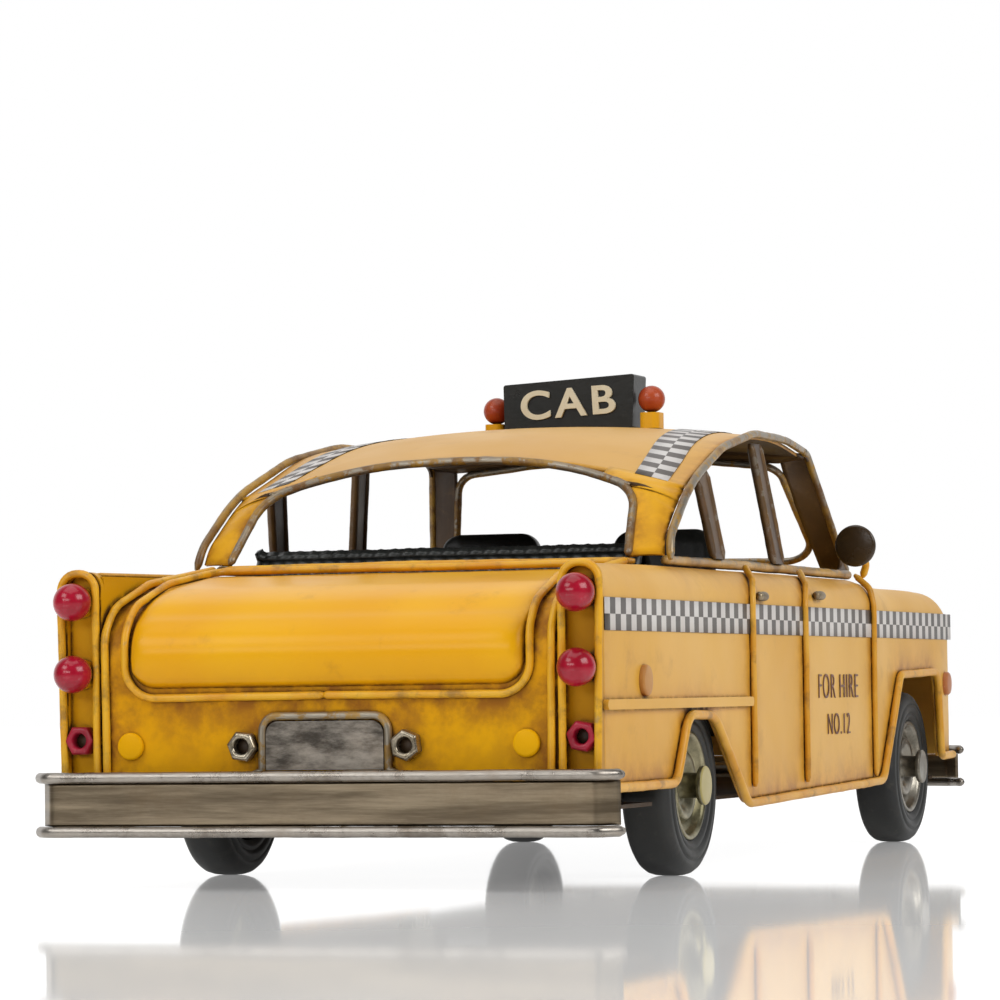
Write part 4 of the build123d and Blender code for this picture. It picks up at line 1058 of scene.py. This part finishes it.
def build_discs():
    button = [(0, 2.75), (0.6, 2.75), (0.85, 2.6), (0.95, 2.2), (0.95, 0)]
    rear = [((REAR_FACE, s * 41.8, 28.5), (-1, 0, 0), button) for s in SIDES]
    obj = lathe("rear_filler_discs", rear, PAINT_REAR, ("body_discs",), BODY, 40)
    side_disc = [(0, 3.15), (0.7, 3.15), (1.0, 2.95), (1.05, 2.4), (1.0, 0)]
    marks = [((-113.5, s * 56.7, 40.3), (0, s, 0), side_disc) for s in SIDES]
    obj = lathe("side_reflector_discs", marks, MARKER, (), BODY, 40)
    front_disc = [(0, 2.9), (0.9, 2.9), (1.25, 2.6), (1.35, 2.0), (1.35, 0)]
    marks = [((136.4, s * (SIDE_Y - 0.3), 39.0), (0, s, 0), front_disc) for s in SIDES]
    obj = lathe("front_marker_discs", marks, MARKER_FRONT, (), BODY, 40)


build_wheels()
build_beads()
build_nuts()
build_discs()


# ---------------------------------------------------------------- seats, sign, mirror and bumpers
def build_rear_seat():
    """Ribbed bench back standing over a flat cushion."""
    width, pitch = 43.6, 3.1
    ys = np.linspace(-width, width, 361)
    outline = rounded([(-78.6, 0, 40.5), (-74.6, 0, 66.6), (-71.8, 0, 68.2), (-67.8, 0, 68.2), (-65.6, 0, 66.0),
                       (-60.4, 0, 46.4), (-34.6, 0, 46.0), (-34.2, 0, 40.0)], (8, 3, 3, 5, 6, 3), 1.4)
    points = []
    for y in ys:
        rib = abs(math.sin(math.pi * y / pitch)) ** 0.7
        end = min(1.0, (width - abs(y)) / 2.0)
        for i, p in enumerate(outline):
            along = outline[min(i + 1, len(outline) - 1)] - outline[max(i - 1, 0)]
            out = Vector((-along.z, 0, along.x)).normalized()
            depth = 0.06 + 0.50 * min(1.0, max(0.0, (67.9 - p.z) / 1.2))
            sink = (1 - rib) * depth + (1 - math.sqrt(max(0.0, 1 - (1 - end) ** 2))) * 0.9
            points.append(p - out * sink + Vector((0, y, 0.15 * drift(0, y, 0, 0.08, 4))))
    obj = make_object("rear_seat_ribbed", points, grid_faces(len(ys), len(outline)), SEAT_TRIM)
    thicken(obj, 1.2)
    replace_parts(obj, "rear_seat")


def build_front_seats():
    """Two ribbed bucket seats with rounded backs."""
    points, faces = [], []
    for side in SIDES:
        middle = side * 21.0
        start = len(points)
        rows, rounds = 40, 56
        for r in range(rows):
            z = 27.6 + (75.0 - 27.6) * math.sin(math.pi / 2 * r / (rows - 1))
            top = max(0.0, z - 70.6) / 4.4
            shrink = math.sqrt(max(0.0, 1 - top * top))
            for k in range(rounds):
                angle = 2 * math.pi * k / rounds
                c, d = math.cos(angle), math.sin(angle)
                reach_y = 12.0 * math.copysign(abs(c) ** 0.35, c) * (0.62 + 0.38 * shrink)
                reach_x = 2.9 * math.copysign(abs(d) ** 0.5, d) * (0.25 + 0.75 * shrink)
                rib = 0.35 * abs(math.sin(math.pi * (reach_y + 12) / 3.0)) if abs(d) > 0.3 else 0.0
                points.append((15.0 + reach_x * (0.9 + 0.1 * rib) + math.copysign(rib * 0.3, d), middle + reach_y, z))
        made = grid_faces(rows, rounds, loop=True)
        faces += [tuple(start + v for v in face) for face in made]
        faces.append(tuple(reversed([start + k for k in range(rounds)])))
        faces.append(tuple(start + (rows - 1) * rounds + k for k in range(rounds)))
        start = len(points)
        for r, (z, grow) in enumerate(((27.6, 0.9), (28.4, 1.0), (35.6, 1.0), (37.2, 0.96), (37.9, 0.86))):
            for k in range(rounds):
                angle = 2 * math.pi * k / rounds
                c, d = math.cos(angle), math.sin(angle)
                x = 29.2 + 10.6 * grow * math.copysign(abs(c) ** 0.3, c)
                y = middle + 11.8 * grow * math.copysign(abs(d) ** 0.3, d)
                points.append((x, y, z))
        made = grid_faces(5, rounds, loop=True)
        faces += [tuple(start + v for v in face) for face in made]
        faces.append(tuple(reversed([start + k for k in range(rounds)])))
        faces.append(tuple(start + 4 * rounds + k for k in range(rounds)))
    obj = make_object("front_seats_ribbed", points, faces, SEAT_TRIM)
    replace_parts(obj, "front_seats")


def lettering(name, text, size, thickness, place, across, upward, material, stretch=1.0, bold=0.0, spacing=1.2):
    """Raised or printed block letters, turned into a mesh; across and upward are directions."""
    data = bpy.data.curves.new(name + "_text", "FONT")
    data.body = text
    data.size = size * MM
    data.extrude = thickness * MM
    data.offset = bold * MM
    data.align_x, data.align_y = "CENTER", "CENTER"
    data.space_character = spacing
    maker = bpy.data.objects.new(name + "_maker", data)
    bpy.context.scene.collection.objects.link(maker)
    mesh = bpy.data.meshes.new_from_object(maker)
    bpy.data.objects.remove(maker)
    mesh.name = name
    across, upward = Vector(across).normalized(), Vector(upward).normalized()
    normal = across.cross(upward)
    turn = Matrix((across, upward, normal)).transposed().to_4x4()
    scale = Matrix.Diagonal((stretch, 1.0, 1.0, 1.0))
    mesh.transform(Matrix.Translation(Vector(place) * MM) @ turn @ scale)
    mesh.materials.clear()
    mesh.materials.append(material)
    obj = bpy.data.objects.new(name, mesh)
    bpy.context.scene.collection.objects.link(obj)
    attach(obj, BODY)
    return obj


def build_lettering():
    sign = lettering("sign_letters", "CAB", 9.2, 0.5, (10.30, 0.3, 104.3), (0, -1, 0.05), (0, 0.05, 1), CREAM,
                     1.18, 0.16)
    for side in SIDES:
        name = "left" if side > 0 else "right"
        for row, (text, size, z) in enumerate((("FOR HIRE", 8.2, 38.4), ("NO.12", 7.2, 29.8))):
            ink = lettering(f"door_letters_{name}_{row}", text, size, 0.08, (32.6, side * (SIDE_Y + 0.16), z),
                            (-side, 0, 0), (0, 0, 1), DOOR_INK, 0.9, -0.14, 1.15)


def build_sign_lamps():
    beads = []
    for (x, y, z), tall in (((15.4, 19.4, 103.6), 1.0), ((13.4, -19.0, 105.0), 1.0)):
        beads.append(((x, y, z), (0, 0, 1), [(-3.1 * tall * math.cos(math.pi * i / 28), 3.1 * math.sin(math.pi * i / 28))
                                             for i in range(29)]))
    lathe("sign_lamp_beads", beads, SIGN_BEAD, ("sign_lamps",), BODY, 40)


def build_mirror():
    """Turned mirror back on a bent wire stalk."""
    outline = [(-0.6, 0.0), (-0.6, 4.3), (-0.45, 4.8), (-0.1, 4.95), (0.4, 4.9), (1.2, 4.4), (2.0, 3.4), (2.6, 2.2),
               (2.95, 1.0), (3.0, 0.0)]
    obj = lathe("mirror_back", [((58.5, -54.6, 71.7), (1, 0.0, 0.0), outline)], MIRROR_BACK, ("side_mirror",),
                BODY, 56)
    stalk = rounded([(67.6, -53.8, 64.6), (66.2, -55.2, 67.6), (60.9, -54.6, 71.2)], (2.5,), 0.7)
    add_wires("mirror_stalk", [stalk], TRIM, WIRE_REAR)
    return obj


def build_handles():
    """Door handles: a soldered lens of tin with a blob at its rear end."""
    points, faces = [], []
    rings, around = 14, 20
    for side in SIDES:
        for handle_x, handle_z in ((-30.8, 58.3), (15.6, 59.2)):
            for centre_x, reach in ((handle_x + 0.4, (3.2, 0.95, 1.05)), (handle_x - 2.6, (1.0, 1.0, 0.95))):
                start = len(points)
                for r in range(rings):
                    tilt = math.pi * (r + 0.02) / (rings - 0.96)
                    for k in range(around):
                        turn = 2 * math.pi * k / around
                        points.append((centre_x - reach[0] * math.cos(tilt),
                                       side * (SIDE_Y + 0.75) + reach[1] * math.sin(tilt) * math.cos(turn),
                                       handle_z + reach[2] * math.sin(tilt) * math.sin(turn)))
                made = grid_faces(rings, around, loop=True, flip=True)
                faces += [tuple(start + v for v in face) for face in made]
                faces.append(tuple(start + k for k in range(around)))
                faces.append(tuple(start + (rings - 1) * around + k for k in reversed(range(around))))
    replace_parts(make_object("door_handle_lenses", points, faces, HANDLE_METAL), "door_handles")


def build_bumpers():
    """Bars between two wires, hammered by hand, with their tips folded towards the body."""
    run_x = 148.5 - BUMPER_WIRE / 2
    wires = []
    for end, half, levels in ((-1, REAR_BUMPER_HALF, (11.6, 22.4)), (1, 60.5, (14.0, 22.2))):
        name = "rear" if end < 0 else "front"
        face = run_x - 0.5
        fold = half - 5.6
        bar = rounded([(end * (face - 4.6), half - 2.2, 0), (end * face, fold, 0), (end * face, -fold, 0),
                       (end * (face - 4.6), 2.2 - half, 0)], (2.0, 2.0), 1.0)
        low, high = levels[0] + 1.1, levels[1] - 1.1
        rows = 14
        points = []
        for p in bar:
            for r in range(rows):
                z = low + (high - low) * r / (rows - 1)
                dent = 0.14 * drift(p.x, p.y, z, 0.06, 7) + 0.07 * drift(p.x, p.y, z, 0.22, 2)
                points.append((p.x + end * (dent - 0.25), p.y, z))
        obj = make_object(f"{name}_bumper_bar", points, grid_faces(len(bar), rows, flip=end < 0), BUMPER_PLATE)
        thicken(obj, 0.9)
        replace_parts(obj, f"{name}_bumper")
        for z in levels:
            wires.append(rounded([(end * (run_x - 4.6), half - 1.35, z), (end * run_x, half - 5.2, z),
                                  (end * run_x, 5.2 - half, z), (end * (run_x - 4.6), 1.35 - half, z)],
                                 (2.4, 2.4), 1.0))
    add_wires("bumper_wires_worn", wires, BUMPER_WIRE - 0.3, BUMPER_ROD, ("bumper_wires",), wobble=0.10, lumps=0.05)


build_rear_seat()
build_front_seats()
build_lettering()
build_sign_lamps()
build_mirror()
build_handles()
build_bumpers()


# ---------------------------------------------------------------- camera, light and floor
def build_camera():
    """Low camera behind the car's right corner, at the height of its tail lamps."""
    yaw, pitch, roll = math.radians(19.600), math.radians(2.531), math.radians(-0.755)
    forward = Vector((math.cos(yaw) * math.cos(pitch), math.sin(yaw) * math.cos(pitch), math.sin(pitch)))
    level = Vector((math.sin(yaw), -math.cos(yaw), 0))
    upright = level.cross(forward)
    right = level * math.cos(roll) + upright * math.sin(roll)
    up = upright * math.cos(roll) - level * math.sin(roll)
    data = bpy.data.cameras.new("camera")
    data.sensor_width = 36.0
    data.lens = 155.26
    data.clip_start, data.clip_end = 0.05, 20.0
    camera = bpy.data.objects.new("camera", data)
    turned = Matrix((right, up, -forward)).transposed().to_4x4()
    camera.matrix_world = Matrix.Translation(Vector((-928.35, -317.11, 38.66)) * MM) @ turned
    bpy.context.scene.collection.objects.link(camera)
    bpy.context.scene.camera = camera


def add_light(name, place, target, size, watts, colour=(1, 1, 1)):
    data = bpy.data.lights.new(name, "AREA")
    data.shape = "RECTANGLE"
    data.size, data.size_y = size
    data.energy = watts
    data.color = colour
    light = bpy.data.objects.new(name, data)
    light.location = place
    light.rotation_euler = (Vector(target) - Vector(place)).to_track_quat("-Z", "Y").to_euler()
    bpy.context.scene.collection.objects.link(light)


def build_studio():
    world = bpy.data.worlds.new("studio")
    bpy.context.scene.world = world
    world.use_nodes = True
    tree = world.node_tree
    backdrop = tree.nodes["Background"]
    direction = tree.nodes.new("ShaderNodeTexCoord").outputs["Generated"]
    facing_backdrop = tree.nodes.new("ShaderNodeVectorMath")
    facing_backdrop.operation = "DOT_PRODUCT"
    facing_backdrop.inputs[1].default_value = (0.94, 0.335, 0.0)
    tree.links.new(direction, facing_backdrop.inputs[0])
    sweep = tree.nodes.new("ShaderNodeMapRange")
    sweep.interpolation_type = "SMOOTHSTEP"
    sweep.inputs["From Min"].default_value = 0.15
    sweep.inputs["From Max"].default_value = 0.80
    sweep.inputs["To Min"].default_value = 0.10
    sweep.inputs["To Max"].default_value = 1.0
    tree.links.new(facing_backdrop.outputs["Value"], sweep.inputs["Value"])
    tree.links.new(sweep.outputs["Result"], backdrop.inputs["Color"])
    backdrop.inputs["Strength"].default_value = 1.0
    add_light("key_right", (-0.45, -1.25, 0.85), (0, 0, 0.04), (1.0, 0.7), 12.0)
    add_light("top", (-0.25, 0.1, 1.3), (-0.05, 0, 0), (1.2, 1.2), 6.6)
    add_light("rear_band", (-1.45, 0.35, 0.42), (-0.14, 0, 0.05), (1.1, 0.22), 4.0)
    add_light("rear_fill", (-1.3, 0.9, 1.2), (-0.1, 0, 0.04), (0.9, 0.6), 7.2)
    shade = Shade("floor_gloss")
    tint = shade.mix(shade.noise(3, 2), (0.86, 0.86, 0.85), (0.90, 0.90, 0.89))
    rough = shade.math("ADD", 0.035, shade.math("MULTIPLY", shade.noise(12, 4), 0.03))
    shade.set(Base_Color=tint, Roughness=rough, Emission_Color=(1, 1, 1, 1), Emission_Strength=0.18)
    corners = [(-4000, -4000, 0), (4000, -4000, 0), (4000, 4000, 0), (-4000, 4000, 0)]
    mesh = bpy.data.meshes.new("floor")
    mesh.from_pydata([tuple(c * MM for c in p) for p in corners], [], [(0, 1, 2, 3)])
    mesh.materials.append(shade.material)
    floor = bpy.data.objects.new("floor", mesh)
    bpy.context.scene.collection.objects.link(floor)
    bpy.context.scene.view_settings.view_transform = "Standard"


build_camera()
build_studio()


# ---------------------------------------------------------------- CAD pieces that keep their shape
KEPT = {
    PAINT_CHANNEL_SHADED: ("lamp_housing_left", "lamp_housing_right"),
    PAINT_PILLAR: ("sign_lamp_cups",),
    PAINT_SIDE_SHEEN: ("hood", "nose_panel", "cowl", "side_mouldings"),
    INNER_TIN: ("floor_pan", "dashboard"),
    BUMPER_PLATE: ("bumper_brackets",),
    BUMPER_ROD: ("headlamp_bezels", "grille"),
    PLATE_METAL: ("number_plate",),
    GEAR_METAL: ("motor_plates", "drive_gear", "layshaft", "layshaft_gear", "flywheel", "flywheel_shaft",
                 "rear_axle", "front_axle", "axle_brackets"),
    SEAT_TRIM: ("steering_wheel", "steering_column"),
    SIGN_BLACK: ("sign_box",),
    CHECK_WHITE: ("headlamps",),
}
for material, names in KEPT.items():
    for node_name in names:
        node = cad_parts[node_name]
        node.data.materials.clear()
        node.data.materials.append(material)
